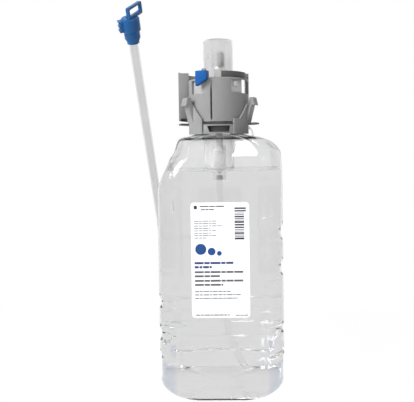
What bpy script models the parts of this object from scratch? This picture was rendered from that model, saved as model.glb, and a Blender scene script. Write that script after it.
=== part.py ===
"""Hand soap refill pack: a clear bottle of soap with a foam pump, a delivery tube and its nozzle.

The bottle stands on z = 0 with its axis on the Z axis. Its labelled front faces -Y, and the
delivery tube passes its left flank, on the -X side. The pump's plunger slides along Z.
"""
import math

import bmesh
import bpy
from mathutils import Matrix, Vector

MM = 0.001

# Clearances
SEAT_GAP = 0.3 * MM
SLIDE_GAP = 0.35 * MM

# Bottle
BODY_HALF_WIDTH = 51.8 * MM
BODY_HALF_DEPTH = 48.5 * MM
BODY_CORNER_RADIUS = 17.0 * MM
BOTTLE_WALL = 1.0 * MM
SHOULDER_Z = 164.0 * MM
NECK_BASE_Z = 205.6 * MM
NECK_TOP_Z = 212.0 * MM
NECK_RADIUS = 20.0 * MM
NECK_WALL = 2.0 * MM
NECK_BEAD = 1.1 * MM
NECK_BEAD_Z = 208.2 * MM
BASE_RISE = 14.0 * MM
BASE_INSET = 17.0 * MM
BASE_RECESS = 1.3 * MM
# Shares of the way out from the base's centre: centre pad, recess from, recess to, foot rim
BASE_RINGS = (0.34, 0.40, 0.78, 0.84)
BASE_ROUND_SHARES = (0.1, 0.32, 0.62)
NOTCH_RAMP = 1.7 * MM
CREASE_DEPTH = 0.7 * MM
CREASE_HALF_WIDTH = 1.3 * MM
# Notches round the sides: lower edge, upper edge and depth
RIGHT_NOTCHES = [
    (15.5 * MM, 22.2 * MM, 1.5 * MM),
    (33.8 * MM, 38.6 * MM, 1.4 * MM),
    (49.6 * MM, 57.0 * MM, 1.7 * MM),
    (94.6 * MM, 107.4 * MM, 1.7 * MM),
    (122.4 * MM, 135.0 * MM, 1.7 * MM),
]
LEFT_NOTCHES = [
    (15.5 * MM, 22.2 * MM, 1.5 * MM),
    (44.0 * MM, 55.0 * MM, 1.7 * MM),
    (69.5 * MM, 79.5 * MM, 1.6 * MM),
]
FRONT_CREASES = [41.0 * MM, 51.4 * MM, 62.7 * MM]
# Shoulder outlines: share of the climb to the neck, share of the way out from neck to body
LEFT_SHOULDER = [
    (0.0, 1.0), (0.21, 0.915), (0.35, 0.83), (0.52, 0.685), (0.63, 0.575),
    (0.70, 0.53), (0.85, 0.48), (0.92, 0.43), (0.97, 0.22), (1.0, 0.0),
]
RIGHT_SHOULDER = [
    (0.0, 1.0), (0.50, 0.99), (0.64, 0.975), (0.74, 0.90), (0.85, 0.74),
    (0.92, 0.52), (0.97, 0.27), (1.0, 0.0),
]
FRONT_SHOULDER = [
    (0.0, 1.0), (0.42, 0.985), (0.62, 0.91), (0.80, 0.70), (0.90, 0.47),
    (0.96, 0.24), (1.0, 0.0),
]
SHOULDER_STEPS = 12
SHOULDER_CROWDING = 1.5
RING_SPACING = 14.0 * MM
DENT_RING_SPACING = 6.0 * MM
LEAST_RING_SPACING = 0.9 * MM
# Angles round the bottle's ring, from a side to the front or back, in degrees
RIGHT_ANGLES = [16.0, 31.4, 39.0, 47.0, 54.6, 72.0]
LEFT_ANGLES = [10.5, 21.0, 31.4, 39.0, 47.0, 54.6, 72.0]

# Soap
SOAP_LEVEL_Z = 177.5 * MM
SOAP_EASE = 4.0 * MM
SOAP_FLOOR_GAP = 0.7 * MM
SOAP_RING_SPACING = 5.0 * MM
SOAP_ROOM = 0.6 * MM

# Label
LABEL_WIDTH = 45.0 * MM
LABEL_HEIGHT = 89.3 * MM
LABEL_CENTRE_X = -0.6 * MM
LABEL_BOTTOM_Z = 63.9 * MM
LABEL_CORNER = 2.6 * MM
LABEL_THICKNESS = 0.25 * MM

# Delivery tube
TUBE_RADIUS = 3.2 * MM
TUBE_BORE_RADIUS = 2.2 * MM
TUBE_CORNER_BEND = 26.0 * MM
TUBE_TOP_BEND = 21.0 * MM
TUBE_FLANK_BEND = 40.0 * MM
TUBE_FLANK_X = -50.2 * MM
TUBE_LOW_Z = 115.0 * MM
TUBE_LEAN_DEG = 60.0
TUBE_SPLAY_DEG = 3.6
TUBE_STRAIGHT = 164.0 * MM
TUBE_SIDES = 10
TUBE_ARC_STEPS = 6
TUBE_BACK_STEPS = 5
TUBE_FRONT_STEPS = 8
TUBE_POINT_SPACING = 1.0 * MM
FLANK_DENT_MARGIN = 0.5 * MM
FLANK_DENT_FLAT = 6.2 * MM
FLANK_DENT_REACH = 15.5 * MM

# Nozzle
NOZZLE_SOCKET_RADIUS = 5.8 * MM
NOZZLE_BODY_RADIUS = 6.9 * MM
NOZZLE_SOCKET_LENGTH = 9.6 * MM
NOZZLE_BODY_LENGTH = 12.6 * MM
NOZZLE_OUTLET_RADIUS = 2.6 * MM
NOZZLE_GRIP = 8.0 * MM
NOZZLE_TURN_DEG = 49.0
LOOP_WIDTH = 17.5 * MM
LOOP_HEIGHT = 12.6 * MM
LOOP_BAR = 2.6 * MM
LOOP_THICKNESS = 3.4 * MM
LOOP_SHIFT = 2.0 * MM
FIN_COUNT = 3
FIN_REACH = 4.2 * MM
FIN_WIDTH = 7.0 * MM
FIN_THICKNESS = 1.6 * MM
FIN_PITCH = 3.5 * MM

# Pump housing and what stands on the neck
GASKET_THICKNESS = 1.0 * MM
FLANGE_THICKNESS = 1.5 * MM
AIR_CYLINDER_RADIUS = 12.5 * MM
HOUSING_WALL = 1.2 * MM
HOUSING_FLOOR_Z = 177.2 * MM
LIQUID_CYLINDER_BORE = 4.6 * MM
LIQUID_CYLINDER_WALL = 1.0 * MM
INLET_RADIUS = 6.0 * MM
INLET_LENGTH = 8.4 * MM
BALL_RADIUS = 1.9 * MM
BALL_LIFT = 1.0 * MM
BALL_SEAT_SHARE = 0.72
BALL_SEAT_GAP = 0.15 * MM

# Dip tube
DIP_RADIUS = 2.9 * MM
DIP_BORE_RADIUS = 2.0 * MM
DIP_INSERT = 3.2 * MM
DIP_FOOT_Z = 7.0 * MM
DIP_FOOT_X = 21.0 * MM
DIP_BEND_Z = 84.0 * MM
DIP_BEND_STEPS = 10

# Plunger
STROKE = 8.0 * MM
DOME_RADIUS = 12.05 * MM
DOME_WALL = 1.3 * MM
DOME_TOP_Z = 285.0 * MM
DOME_SKIRT_Z = 238.0 * MM
DOME_EDGE = 1.6 * MM
STEM_RADIUS = 3.0 * MM
STEM_BORE_RADIUS = 1.9 * MM
STEM_TOP_Z = 262.0 * MM
LIQUID_PISTON_HEIGHT = 5.2 * MM
AIR_PISTON_Z = 206.2 * MM
AIR_PISTON_HEIGHT = 5.6 * MM
PISTON_LIP = 1.0 * MM
PISTON_LIP_REACH = 0.5 * MM
CYLINDER_MARGIN = 0.5 * MM
STEM_FOOT = 1.2 * MM
STEM_SEAT_HEIGHT = 2.6 * MM
DOME_SOCKET_DEPTH = 6.0 * MM
CARTRIDGE_RADIUS = 4.6 * MM
CARTRIDGE_WALL = 0.9 * MM
CARTRIDGE_LENGTH = 9.0 * MM
MESH_THICKNESS = 0.5 * MM
OUTLET_BALL_RADIUS = 1.3 * MM
OUTLET_BALL_LIFT = 0.8 * MM

# Return spring
SPRING_RADIUS = 3.5 * MM
SPRING_WIRE_RADIUS = 0.35 * MM
SPRING_TURNS = 4.5
SPRING_TURN_STEPS = 14
SPRING_DEAD_TURNS = 0.75

# Flange plate and latch ring
PLATE_RADIUS = 33.4 * MM
PLATE_THICKNESS = 1.0 * MM
LATCH_SKIRT_WALL = 1.7 * MM
LATCH_BOTTOM_Z = 206.2 * MM
LATCH_FOOT_WALL = 1.8 * MM
LATCH_FOOT_TOP_Z = 218.0 * MM
LEFT_FOOT_DEG = (-64.0, -30.0)
RIGHT_FOOT_DEG = (26.0, 62.0)
LATCH_ARM_DEG = 72.0
LATCH_ARM_WIDTH = 8.0 * MM
LATCH_ARM_TOP_Z = 236.0 * MM
LATCH_ARM_FLARE = 3.6 * MM
LATCH_HOOK = 2.8 * MM
LATCH_WINDOW_HALF_WIDTH = 9.0 * MM

# Collar, chassis and shroud
COLLAR_RADIUS = 25.0 * MM
COLLAR_WALL = 1.6 * MM
COLLAR_TOP_Z = 251.0 * MM
COLLAR_SLOT_X = -5.85 * MM
COLLAR_SLOT_WIDTH = 1.5 * MM
WINDOW_BOTTOM_Z = 238.0 * MM
WINDOW_TOP_Z = 249.4 * MM
LEFT_WINDOW_DEG = (-60.0, -25.0)
RIGHT_WINDOW_DEG = (24.0, 84.0)
CHASSIS_WALL = 1.5 * MM
CHASSIS_FLOOR = 2.0 * MM
GUIDE_WALL = 1.5 * MM
GUIDE_TOP_Z = 247.0 * MM
CROWN_Z = 254.4 * MM
CROWN_HEIGHT = 4.2 * MM
CROWN_DEG = (-1.0, 111.0)
POST_HALF_DEG = 7.0
SHROUD_CENTRE_X = -2.9 * MM
SHROUD_RADIUS = 30.3 * MM
SHROUD_WALL = 1.6 * MM
SHROUD_BOTTOM_Z = 217.2 * MM
SHROUD_TOP_Z = 258.4 * MM
SHROUD_HALF_DEG = 98.0
SPIGOT_Z = 228.0 * MM
SPIGOT_REACH = 5.0 * MM
SPIGOT_FREE = 1.0 * MM
SPIGOT_WALL = 0.7 * MM

# Key
KEY_DEG = -32.0
KEY_WIDTH = 9.6 * MM
KEY_DEPTH = 4.4 * MM
KEY_TOP_Z = 257.6 * MM
KEY_DROP = 6.0 * MM
KEY_SLANT = 4.2 * MM
KEY_TAB_WIDTH = 3.3 * MM
KEY_TAB_RISE = 2.1 * MM

# Heights and radii that follow from the sizes above
GASKET_Z = NECK_TOP_Z + SEAT_GAP
FLANGE_Z = GASKET_Z + GASKET_THICKNESS + SEAT_GAP
FLANGE_TOP_Z = FLANGE_Z + FLANGE_THICKNESS
FLANGE_RADIUS = NECK_RADIUS - SEAT_GAP
LATCH_SKIRT_RADIUS = NECK_RADIUS + NECK_BEAD + SEAT_GAP
PLATE_Z = FLANGE_Z + 0.1 * MM
LATCH_SKIRT_TOP_Z = PLATE_Z - SEAT_GAP
COLLAR_BOTTOM_Z = FLANGE_TOP_Z + SEAT_GAP
FOOT_RADIUS = COLLAR_RADIUS + SEAT_GAP
CHASSIS_RADIUS = COLLAR_RADIUS - COLLAR_WALL - SEAT_GAP
AIR_BORE = AIR_CYLINDER_RADIUS - HOUSING_WALL
GUIDE_BORE = DOME_RADIUS + SLIDE_GAP
SPRING_SEAT_Z = HOUSING_FLOOR_Z + HOUSING_WALL
SPRING_PITCH_LEAST = 2.0 * SPRING_WIRE_RADIUS * 1.1
SPRING_PRESSED = SPRING_PITCH_LEAST * (SPRING_TURNS + 1.0) + 2.0 * SEAT_GAP
LIQUID_PISTON_Z = SPRING_SEAT_Z + SPRING_PRESSED + STROKE
LIQUID_PISTON_TOP_Z = LIQUID_PISTON_Z + LIQUID_PISTON_HEIGHT
LIQUID_CYLINDER_TOP_Z = LIQUID_PISTON_TOP_Z + CYLINDER_MARGIN
INLET_Z = HOUSING_FLOOR_Z - INLET_LENGTH
BALL_SEAT_RADIUS = BALL_RADIUS * BALL_SEAT_SHARE
BALL_Z = SPRING_SEAT_Z - SEAT_GAP - BALL_LIFT - BALL_RADIUS
OUTLET_SEAT_RADIUS = OUTLET_BALL_RADIUS * BALL_SEAT_SHARE
SHROUD_BACK_Y = math.sqrt(SHROUD_RADIUS ** 2 - SHROUD_CENTRE_X ** 2)
INNER_FLOOR_Z = BASE_RECESS + BOTTLE_WALL
TUBE_START_Y = SHROUD_BACK_Y + SPIGOT_FREE
SPIGOT_END_Y = TUBE_START_Y + SPIGOT_REACH
SPIGOT_RADIUS = TUBE_BORE_RADIUS - SEAT_GAP
TUBE_BACK_Y = SPIGOT_END_Y + TUBE_RADIUS - TUBE_BORE_RADIUS + TUBE_TOP_BEND
FLANK_DENT = BODY_HALF_WIDTH + TUBE_FLANK_X + TUBE_RADIUS + SEAT_GAP + FLANK_DENT_MARGIN


def clear_scene():
    for item in list(bpy.data.objects):
        bpy.data.objects.remove(item, do_unlink=True)


def material(name, colour, roughness, metallic=0.0, transmission=0.0):
    made = bpy.data.materials.new(name)
    made.use_nodes = True
    shader = made.node_tree.nodes["Principled BSDF"]
    shader.inputs["Base Color"].default_value = (*colour, 1.0)
    shader.inputs["Roughness"].default_value = roughness
    shader.inputs["Metallic"].default_value = metallic
    shader.inputs["Transmission Weight"].default_value = transmission
    made.diffuse_color = (*colour, 1.0)
    return made


def smoothstep(low, high, value):
    share = min(1.0, max(0.0, (value - low) / (high - low)))
    return share * share * (3.0 - 2.0 * share)


def through(knots, at):
    """The height, at a place, of the straight runs that join the knots."""
    for (x0, y0), (x1, y1) in zip(knots, knots[1:]):
        if at <= x1:
            share = (at - x0) / (x1 - x0)
            return y0 + (y1 - y0) * share
    return knots[-1][1]


def to_object(name, bm, finish, smooth_deg=35.0):
    """Makes an object of a bmesh, shaded smooth except at edges sharper than smooth_deg."""
    bmesh.ops.recalc_face_normals(bm, faces=bm.faces)
    mesh = bpy.data.meshes.new(name)
    bm.to_mesh(mesh)
    bm.free()
    mesh.shade_smooth()
    mesh.set_sharp_from_angle(angle=math.radians(smooth_deg))
    mesh.materials.append(finish)
    made = bpy.data.objects.new(name, mesh)
    bpy.context.scene.collection.objects.link(made)
    return made


def as_cutter(made):
    made.hide_render = True
    made.display_type = "WIRE"
    return made


def boolean(target, other, operation):
    change = target.modifiers.new(other.name, "BOOLEAN")
    change.operation = operation
    change.solver = "EXACT"
    change.object = as_cutter(other)


def bridge(bm, ring_a, ring_b, closed=True):
    """Quads between two rings of the same number of points."""
    count = len(ring_a)
    for i in range(count if closed else count - 1):
        j = (i + 1) % count
        bm.faces.new((ring_a[i], ring_a[j], ring_b[j], ring_b[i]))


def fan(bm, ring, centre):
    tip = bm.verts.new(centre)
    for i, corner in enumerate(ring):
        bm.faces.new((corner, ring[(i + 1) % len(ring)], tip))


def turned(name, profile, finish, segments=32, centre=(0.0, 0.0)):
    """A closed outline of (radius, height) points turned round the upright axis at centre."""
    bm = bmesh.new()
    rings = []
    for radius, height in profile:
        if radius <= 0.0:
            rings.append([bm.verts.new((centre[0], centre[1], height))])
            continue
        rings.append([
            bm.verts.new((
                centre[0] + radius * math.cos(math.tau * i / segments),
                centre[1] + radius * math.sin(math.tau * i / segments),
                height,
            ))
            for i in range(segments)
        ])
    for a, b in zip(rings, rings[1:] + rings[:1]):
        if len(a) == 1 and len(b) == 1:
            continue
        if len(a) == 1 or len(b) == 1:
            tip, ring = (a[0], b) if len(a) == 1 else (b[0], a)
            for i in range(segments):
                bm.faces.new((tip, ring[i], ring[(i + 1) % segments]))
        else:
            bridge(bm, a, b)
    return to_object(name, bm, finish)


def curved_bar(name, section_at, degrees, finish, steps, centre=(0.0, 0.0)):
    """A bar round the axis between two angles, counted from the front (-Y) towards +X.

    section_at gives the (radius, height) corners at a share of the way round.
    """
    bm = bmesh.new()
    base = Vector((centre[0], centre[1], 0.0))
    rings = []
    for i in range(steps + 1):
        share = i / steps
        turn = math.radians(degrees[0] + (degrees[1] - degrees[0]) * share)
        out = Vector((math.sin(turn), -math.cos(turn), 0.0))
        rings.append([
            bm.verts.new(base + out * radius + Vector((0, 0, height)))
            for radius, height in section_at(share)
        ])
    for a, b in zip(rings, rings[1:]):
        bridge(bm, a, b)
    bm.faces.new(rings[0])
    bm.faces.new(rings[-1])
    return to_object(name, bm, finish)


def sector(name, inner, outer, low, high, degrees, finish, steps=12, centre=(0.0, 0.0)):
    """A ring segment of square section between two angles."""
    corners = ((inner, low), (outer, low), (outer, high), (inner, high))
    return curved_bar(name, lambda share: corners, degrees, finish, steps, centre)


def prism(name, outline, low, high, finish, matrix=None):
    """A flat outline in X and Y pulled up from low to high, then placed by matrix."""
    bm = bmesh.new()
    bottom = [bm.verts.new((x, y, low)) for x, y in outline]
    top = [bm.verts.new((x, y, high)) for x, y in outline]
    bridge(bm, bottom, top)
    bm.faces.new(bottom)
    bm.faces.new(top)
    if matrix is not None:
        bmesh.ops.transform(bm, matrix=matrix, verts=bm.verts)
    return to_object(name, bm, finish)


def block(name, low, high, finish, matrix=None):
    outline = [(low[0], low[1]), (high[0], low[1]), (high[0], high[1]), (low[0], high[1])]
    return prism(name, outline, low[2], high[2], finish, matrix)


def rounded_outline(half_x, half_y, radius, steps=4):
    points = []
    for k, (sx, sy) in enumerate(((1, 1), (-1, 1), (-1, -1), (1, -1))):
        for i in range(steps + 1):
            turn = math.radians(90.0 * k + 90.0 * i / steps)
            points.append((
                sx * (half_x - radius) + radius * math.cos(turn),
                sy * (half_y - radius) + radius * math.sin(turn),
            ))
    return points


def swept(name, route, radius, finish, sides, bore=None):
    """A round bar, or a pipe with a bore, along a route of points."""
    bm = bmesh.new()
    along = [
        (route[min(i + 1, len(route) - 1)] - route[max(i - 1, 0)]).normalized()
        for i in range(len(route))
    ]
    across = along[0].orthogonal().normalized()
    rings = {r: [] for r in ([radius, bore] if bore else [radius])}
    for point, way in zip(route, along):
        across = (across - way * across.dot(way)).normalized()
        other = way.cross(across)
        for r, kept in rings.items():
            kept.append([
                bm.verts.new(
                    point
                    + across * (r * math.cos(math.tau * i / sides))
                    + other * (r * math.sin(math.tau * i / sides))
                )
                for i in range(sides)
            ])
    for kept in rings.values():
        for a, b in zip(kept, kept[1:]):
            bridge(bm, a, b)
    if bore:
        bridge(bm, rings[radius][0], rings[bore][0])
        bridge(bm, rings[radius][-1], rings[bore][-1])
    else:
        fan(bm, rings[radius][0], route[0])
        fan(bm, rings[radius][-1], route[-1])
    return to_object(name, bm, finish)


def arc(centre, start, end, radius, steps):
    """Points on a quarter or shorter arc from the direction start to the direction end."""
    start, end = Vector(start).normalized(), Vector(end).normalized()
    sweep = start.angle(end)
    side = (end - start * start.dot(end)).normalized()
    return [
        centre
        + start * (radius * math.cos(sweep * i / steps))
        + side * (radius * math.sin(sweep * i / steps))
        for i in range(steps + 1)
    ]


def tube_route():
    """The delivery tube's centreline, from the pump's spigot to the nozzle."""
    back, low, steps = TUBE_BACK_Y, TUBE_LOW_Z, TUBE_ARC_STEPS
    points = [Vector((0.0, TUBE_START_Y, SPIGOT_Z)), Vector((0.0, SPIGOT_END_Y, SPIGOT_Z))]
    top = Vector((0.0, back - TUBE_TOP_BEND, SPIGOT_Z - TUBE_TOP_BEND))
    points += arc(top, (0, 0, 1), (0, 1, 0), TUBE_TOP_BEND, steps)
    corner_x = TUBE_FLANK_X + TUBE_CORNER_BEND
    turn_z = low - corner_x
    points += [Vector((0.0, back, z)) for z in spread_between(top.z, turn_z, TUBE_BACK_STEPS)]
    points += arc(Vector((corner_x, back, turn_z)), (1, 0, 0), (0, 0, -1), -corner_x, steps)
    corner = Vector((corner_x, back - TUBE_CORNER_BEND, low))
    points += arc(corner, (0, 1, 0), (-1, 0, 0), TUBE_CORNER_BEND, steps)
    lean = math.radians(TUBE_LEAN_DEG)
    flank = Vector((TUBE_FLANK_X, corner.y, low + TUBE_FLANK_BEND))
    ahead = (0.0, -math.sin(lean), -math.cos(lean))
    points += arc(flank, (0, 0, -1), ahead, TUBE_FLANK_BEND, steps)
    splay = math.sin(math.radians(TUBE_SPLAY_DEG))
    way = Vector((-splay, -math.cos(lean), math.sin(lean))).normalized()
    foot, steps = points[-1], TUBE_FRONT_STEPS
    points += [foot + way * (TUBE_STRAIGHT * i / steps) for i in range(1, steps + 1)]
    kept = [points[0]]
    for point in points[1:]:
        if (point - kept[-1]).length > TUBE_POINT_SPACING:
            kept.append(point)
    return kept


def spread_between(first, last, count):
    """Values strictly between first and last."""
    return [first + (last - first) * i / (count + 1) for i in range(1, count + 1)]


def distance_to(route, point):
    """How far a point is from a route's straight runs."""
    best = math.inf
    for a, b in zip(route, route[1:]):
        run = b - a
        share = min(1.0, max(0.0, (point - a).dot(run) / run.length_squared))
        best = min(best, (point - a - run * share).length)
    return best


def notch_depth(bands, z):
    depth = 0.0
    for low, high, deep in bands:
        share = min((z - low) / NOTCH_RAMP, (high - z) / NOTCH_RAMP)
        depth = max(depth, deep * min(1.0, max(0.0, share)))
    return depth


def crease_depth(z):
    return max(
        CREASE_DEPTH * max(0.0, 1.0 - abs(z - crease) / CREASE_HALF_WIDTH)
        for crease in FRONT_CREASES
    )


def ring_angles():
    """Angles of the bottle ring's points, in degrees, from +X anticlockwise."""
    right, left = RIGHT_ANGLES, LEFT_ANGLES
    back_right = [0.0, *right, 90.0]
    back_left = [180.0 - a for a in reversed(left)]
    front_left = [180.0, *(180.0 + a for a in left), 270.0]
    front_right = [360.0 - a for a in reversed(right)]
    return back_right + back_left + front_left + front_right


def section(z):
    """The bottle's half-widths to the left, right and front, and its corner radius, at a height."""
    if z < SHOULDER_Z:
        tuck = 0.0
        if z < BASE_RISE:
            share = 1.0 - z / BASE_RISE
            tuck = BASE_INSET * (1.0 - math.sqrt(max(0.0, 1.0 - share * share)))
        wide = BODY_HALF_WIDTH - tuck
        return wide, wide, BODY_HALF_DEPTH - tuck, BODY_CORNER_RADIUS
    climb = min(1.0, (z - SHOULDER_Z) / (NECK_BASE_Z - SHOULDER_Z))
    wide, deep = BODY_HALF_WIDTH - NECK_RADIUS, BODY_HALF_DEPTH - NECK_RADIUS
    corner = BODY_CORNER_RADIUS + (NECK_RADIUS - BODY_CORNER_RADIUS) * climb
    return (
        NECK_RADIUS + wide * through(LEFT_SHOULDER, climb),
        NECK_RADIUS + wide * through(RIGHT_SHOULDER, climb),
        NECK_RADIUS + deep * through(FRONT_SHOULDER, climb),
        corner,
    )


def on_section(z, degrees):
    """A point of the bottle's plain outline at a height, and its outward direction."""
    left, right, deep, corner = section(z)
    turn = math.radians(degrees)
    cos, sin = math.cos(turn), math.sin(turn)
    wide = right if cos >= 0 else left
    x, y = abs(cos), abs(sin)
    core_x, core_y = wide - corner, deep - corner
    if x > 1e-9 and wide * y / x <= core_y:
        reach, out = wide / x, (1.0, 0.0)
    elif y > 1e-9 and deep * x / y <= core_x:
        reach, out = deep / y, (0.0, 1.0)
    else:
        toward = x * core_x + y * core_y
        reach = toward + math.sqrt(
            max(0.0, toward ** 2 - core_x ** 2 - core_y ** 2 + corner ** 2)
        )
        out = ((reach * x - core_x) / corner, (reach * y - core_y) / corner)
    sign_x, sign_y = math.copysign(1.0, cos), math.copysign(1.0, sin)
    point = Vector((sign_x * reach * x, sign_y * reach * y, z))
    return point, Vector((sign_x * out[0], sign_y * out[1], 0.0)).normalized()


def bottle_ring(z, inset, route, plain=False):
    """The bottle's outline at a height with its notches, creases and tube recess, moved in."""
    points = []
    for degrees in ring_angles():
        point, out = on_section(z, degrees)
        side = smoothstep(0.15, 0.55, abs(out.x))
        bands = LEFT_NOTCHES if out.x < 0 else RIGHT_NOTCHES
        depth = side * notch_depth(bands, z) + (1.0 - side) * crease_depth(z)
        away = distance_to(route, point)
        if plain:
            depth = max(band[2] for band in RIGHT_NOTCHES + LEFT_NOTCHES)
            away = max(0.0, away - SOAP_EASE)
        dent = FLANK_DENT * (1.0 - smoothstep(FLANK_DENT_FLAT, FLANK_DENT_REACH, away))
        points.append(point - out * (inset + max(depth, dent)))
    return points


def bottle_heights():
    """Heights of the bottle's rings below the neck."""
    marks = {0.0, BASE_RISE, SHOULDER_Z}
    marks.update(BASE_RISE * share for share in BASE_ROUND_SHARES)
    for low, high, _ in RIGHT_NOTCHES + LEFT_NOTCHES:
        marks.update((low, low + NOTCH_RAMP, high - NOTCH_RAMP, high))
    for crease in FRONT_CREASES:
        marks.update((crease - CREASE_HALF_WIDTH, crease, crease + CREASE_HALF_WIDTH))
    rows = SHOULDER_STEPS
    climb = NECK_BASE_Z - SHOULDER_Z
    marks.update(
        SHOULDER_Z + climb * (1.0 - (1.0 - i / rows) ** SHOULDER_CROWDING)
        for i in range(1, rows)
    )
    kept = []
    for mark in sorted(marks):
        if kept and mark - kept[-1] < LEAST_RING_SPACING:
            continue
        step = DENT_RING_SPACING if mark > TUBE_LOW_Z - FLANK_DENT_REACH else RING_SPACING
        if kept:
            extra = math.ceil((mark - kept[-1]) / step) - 1
            kept += spread_between(kept[-1], mark, extra)
        kept.append(mark)
    return kept


def make_bottle(finish, route):
    bm = bmesh.new()
    heights = bottle_heights()

    def ring(points):
        return [bm.verts.new(point) for point in points]

    def neck_ring(radius, z):
        return ring(
            Vector((radius * math.cos(math.radians(a)), radius * math.sin(math.radians(a)), z))
            for a in ring_angles()
        )

    base = bottle_ring(0.0, 0.0, route)
    outer = [
        ring(Vector((p.x * share, p.y * share, z)) for p in base)
        for share, z in zip(BASE_RINGS, (0.0, BASE_RECESS, BASE_RECESS, 0.0))
    ]
    outer += [ring(bottle_ring(z, 0.0, route)) for z in heights]
    bead = NECK_RADIUS + NECK_BEAD
    outer += [
        neck_ring(radius, z)
        for radius, z in (
            (NECK_RADIUS, NECK_BASE_Z),
            (NECK_RADIUS, NECK_BEAD_Z),
            (bead, NECK_BEAD_Z + NECK_BEAD * 0.5),
            (bead, NECK_BEAD_Z + NECK_BEAD * 1.5),
            (NECK_RADIUS, NECK_BEAD_Z + NECK_BEAD * 2.0),
            (NECK_RADIUS, NECK_TOP_Z),
        )
    ]
    inner = [ring(bottle_ring(INNER_FLOOR_Z, BOTTLE_WALL, route))]
    inner += [
        ring(bottle_ring(z, BOTTLE_WALL, route))
        for z in heights
        if INNER_FLOOR_Z + BOTTLE_WALL < z < NECK_BASE_Z - NECK_WALL - BOTTLE_WALL
    ]
    inner += [
        neck_ring(NECK_RADIUS - NECK_WALL, z) for z in (NECK_BASE_Z - BOTTLE_WALL, NECK_TOP_Z)
    ]
    for a, b in zip(outer, outer[1:]):
        bridge(bm, a, b)
    bridge(bm, outer[-1], inner[-1])
    for a, b in zip(inner, inner[1:]):
        bridge(bm, a, b)
    fan(bm, outer[0], (0.0, 0.0, 0.0))
    fan(bm, inner[0], (0.0, 0.0, INNER_FLOOR_Z))
    return to_object("bottle", bm, finish, 30.0)


def dip_route():
    """The dip tube's centreline, straight from the pump and then curling to the right."""
    top = INLET_Z + DIP_INSERT
    points = [Vector((0.0, 0.0, z)) for z in (top, (top + DIP_BEND_Z) / 2, DIP_BEND_Z)]
    for i in range(1, DIP_BEND_STEPS + 1):
        share = i / DIP_BEND_STEPS
        points.append(Vector((
            DIP_FOOT_X * share * share,
            0.0,
            DIP_BEND_Z + (DIP_FOOT_Z + INNER_FLOOR_Z - DIP_BEND_Z) * share,
        )))
    return points


def make_soap(finish, route):
    """The soap, up to its level, with room for the pump's inlet and the dip tube."""
    bm = bmesh.new()
    inset = BOTTLE_WALL + SEAT_GAP
    low = INNER_FLOOR_Z + SOAP_FLOOR_GAP
    heights = [low]
    for z in bottle_heights():
        if heights[-1] + SOAP_RING_SPACING < z < SOAP_LEVEL_Z - SOAP_RING_SPACING:
            heights.append(z)
    heights.append(SOAP_LEVEL_Z)
    rings = [
        [bm.verts.new(point) for point in bottle_ring(z, inset, route, plain=True)]
        for z in heights
    ]
    for a, b in zip(rings, rings[1:]):
        bridge(bm, a, b)
    fan(bm, rings[0], (0.0, 0.0, low))
    fan(bm, rings[-1], (0.0, 0.0, SOAP_LEVEL_Z))
    soap = to_object("soap_fill", bm, finish)
    dip = dip_route()
    end = dip[-1] + (dip[-1] - dip[-2]).normalized() * SOAP_ROOM
    hole = swept("soap_dip_cutter", [*dip, end], DIP_RADIUS + SOAP_ROOM, finish, 12)
    boolean(soap, hole, "DIFFERENCE")
    floor, above = HOUSING_FLOOR_Z - SOAP_ROOM, SOAP_LEVEL_Z + SOAP_RING_SPACING
    room = turned(
        "soap_inlet_cutter",
        [
            (0.0, INLET_Z - SOAP_ROOM),
            (INLET_RADIUS + SOAP_ROOM, INLET_Z - SOAP_ROOM),
            (INLET_RADIUS + SOAP_ROOM, floor),
            (AIR_CYLINDER_RADIUS + SOAP_ROOM, floor),
            (AIR_CYLINDER_RADIUS + SOAP_ROOM, above),
            (0.0, above),
        ],
        finish,
        24,
    )
    boolean(soap, room, "DIFFERENCE")
    return soap


def make_label(finish):
    outline = rounded_outline(LABEL_WIDTH / 2, LABEL_HEIGHT / 2, LABEL_CORNER)
    face = -(BODY_HALF_DEPTH + SEAT_GAP)
    stand = Matrix.Translation((LABEL_CENTRE_X, face, LABEL_BOTTOM_Z + LABEL_HEIGHT / 2))
    stand @= Matrix.Rotation(math.radians(90.0), 4, "X")
    return prism("front_label", outline, 0.0, LABEL_THICKNESS, finish, stand)


def make_housing(finish):
    """The pump's body: flange, air cylinder, inner liquid cylinder and the inlet below."""
    liquid_outer = LIQUID_CYLINDER_BORE + LIQUID_CYLINDER_WALL
    socket = DIP_RADIUS + SEAT_GAP
    socket_top = INLET_Z + DIP_INSERT + SEAT_GAP
    profile = [
        (socket, INLET_Z),
        (INLET_RADIUS, INLET_Z),
        (INLET_RADIUS, HOUSING_FLOOR_Z),
        (AIR_CYLINDER_RADIUS, HOUSING_FLOOR_Z),
        (AIR_CYLINDER_RADIUS, FLANGE_Z),
        (FLANGE_RADIUS, FLANGE_Z),
        (FLANGE_RADIUS, FLANGE_TOP_Z),
        (AIR_BORE, FLANGE_TOP_Z),
        (AIR_BORE, SPRING_SEAT_Z),
        (liquid_outer, SPRING_SEAT_Z),
        (liquid_outer, LIQUID_CYLINDER_TOP_Z),
        (LIQUID_CYLINDER_BORE, LIQUID_CYLINDER_TOP_Z),
        (LIQUID_CYLINDER_BORE, SPRING_SEAT_Z),
        (BALL_RADIUS + SLIDE_GAP, SPRING_SEAT_Z),
        (BALL_RADIUS + SLIDE_GAP, BALL_Z),
        (BALL_SEAT_RADIUS, BALL_Z - BALL_RADIUS),
        (BALL_SEAT_RADIUS, socket_top),
        (socket, socket_top),
    ]
    return turned("pump_housing", profile, finish, 28)


def make_ball(name, radius, height, finish):
    bm = bmesh.new()
    bmesh.ops.create_uvsphere(bm, u_segments=12, v_segments=8, radius=radius)
    made = to_object(name, bm, finish, 80.0)
    made.location = (0.0, 0.0, height)
    return made


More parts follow.
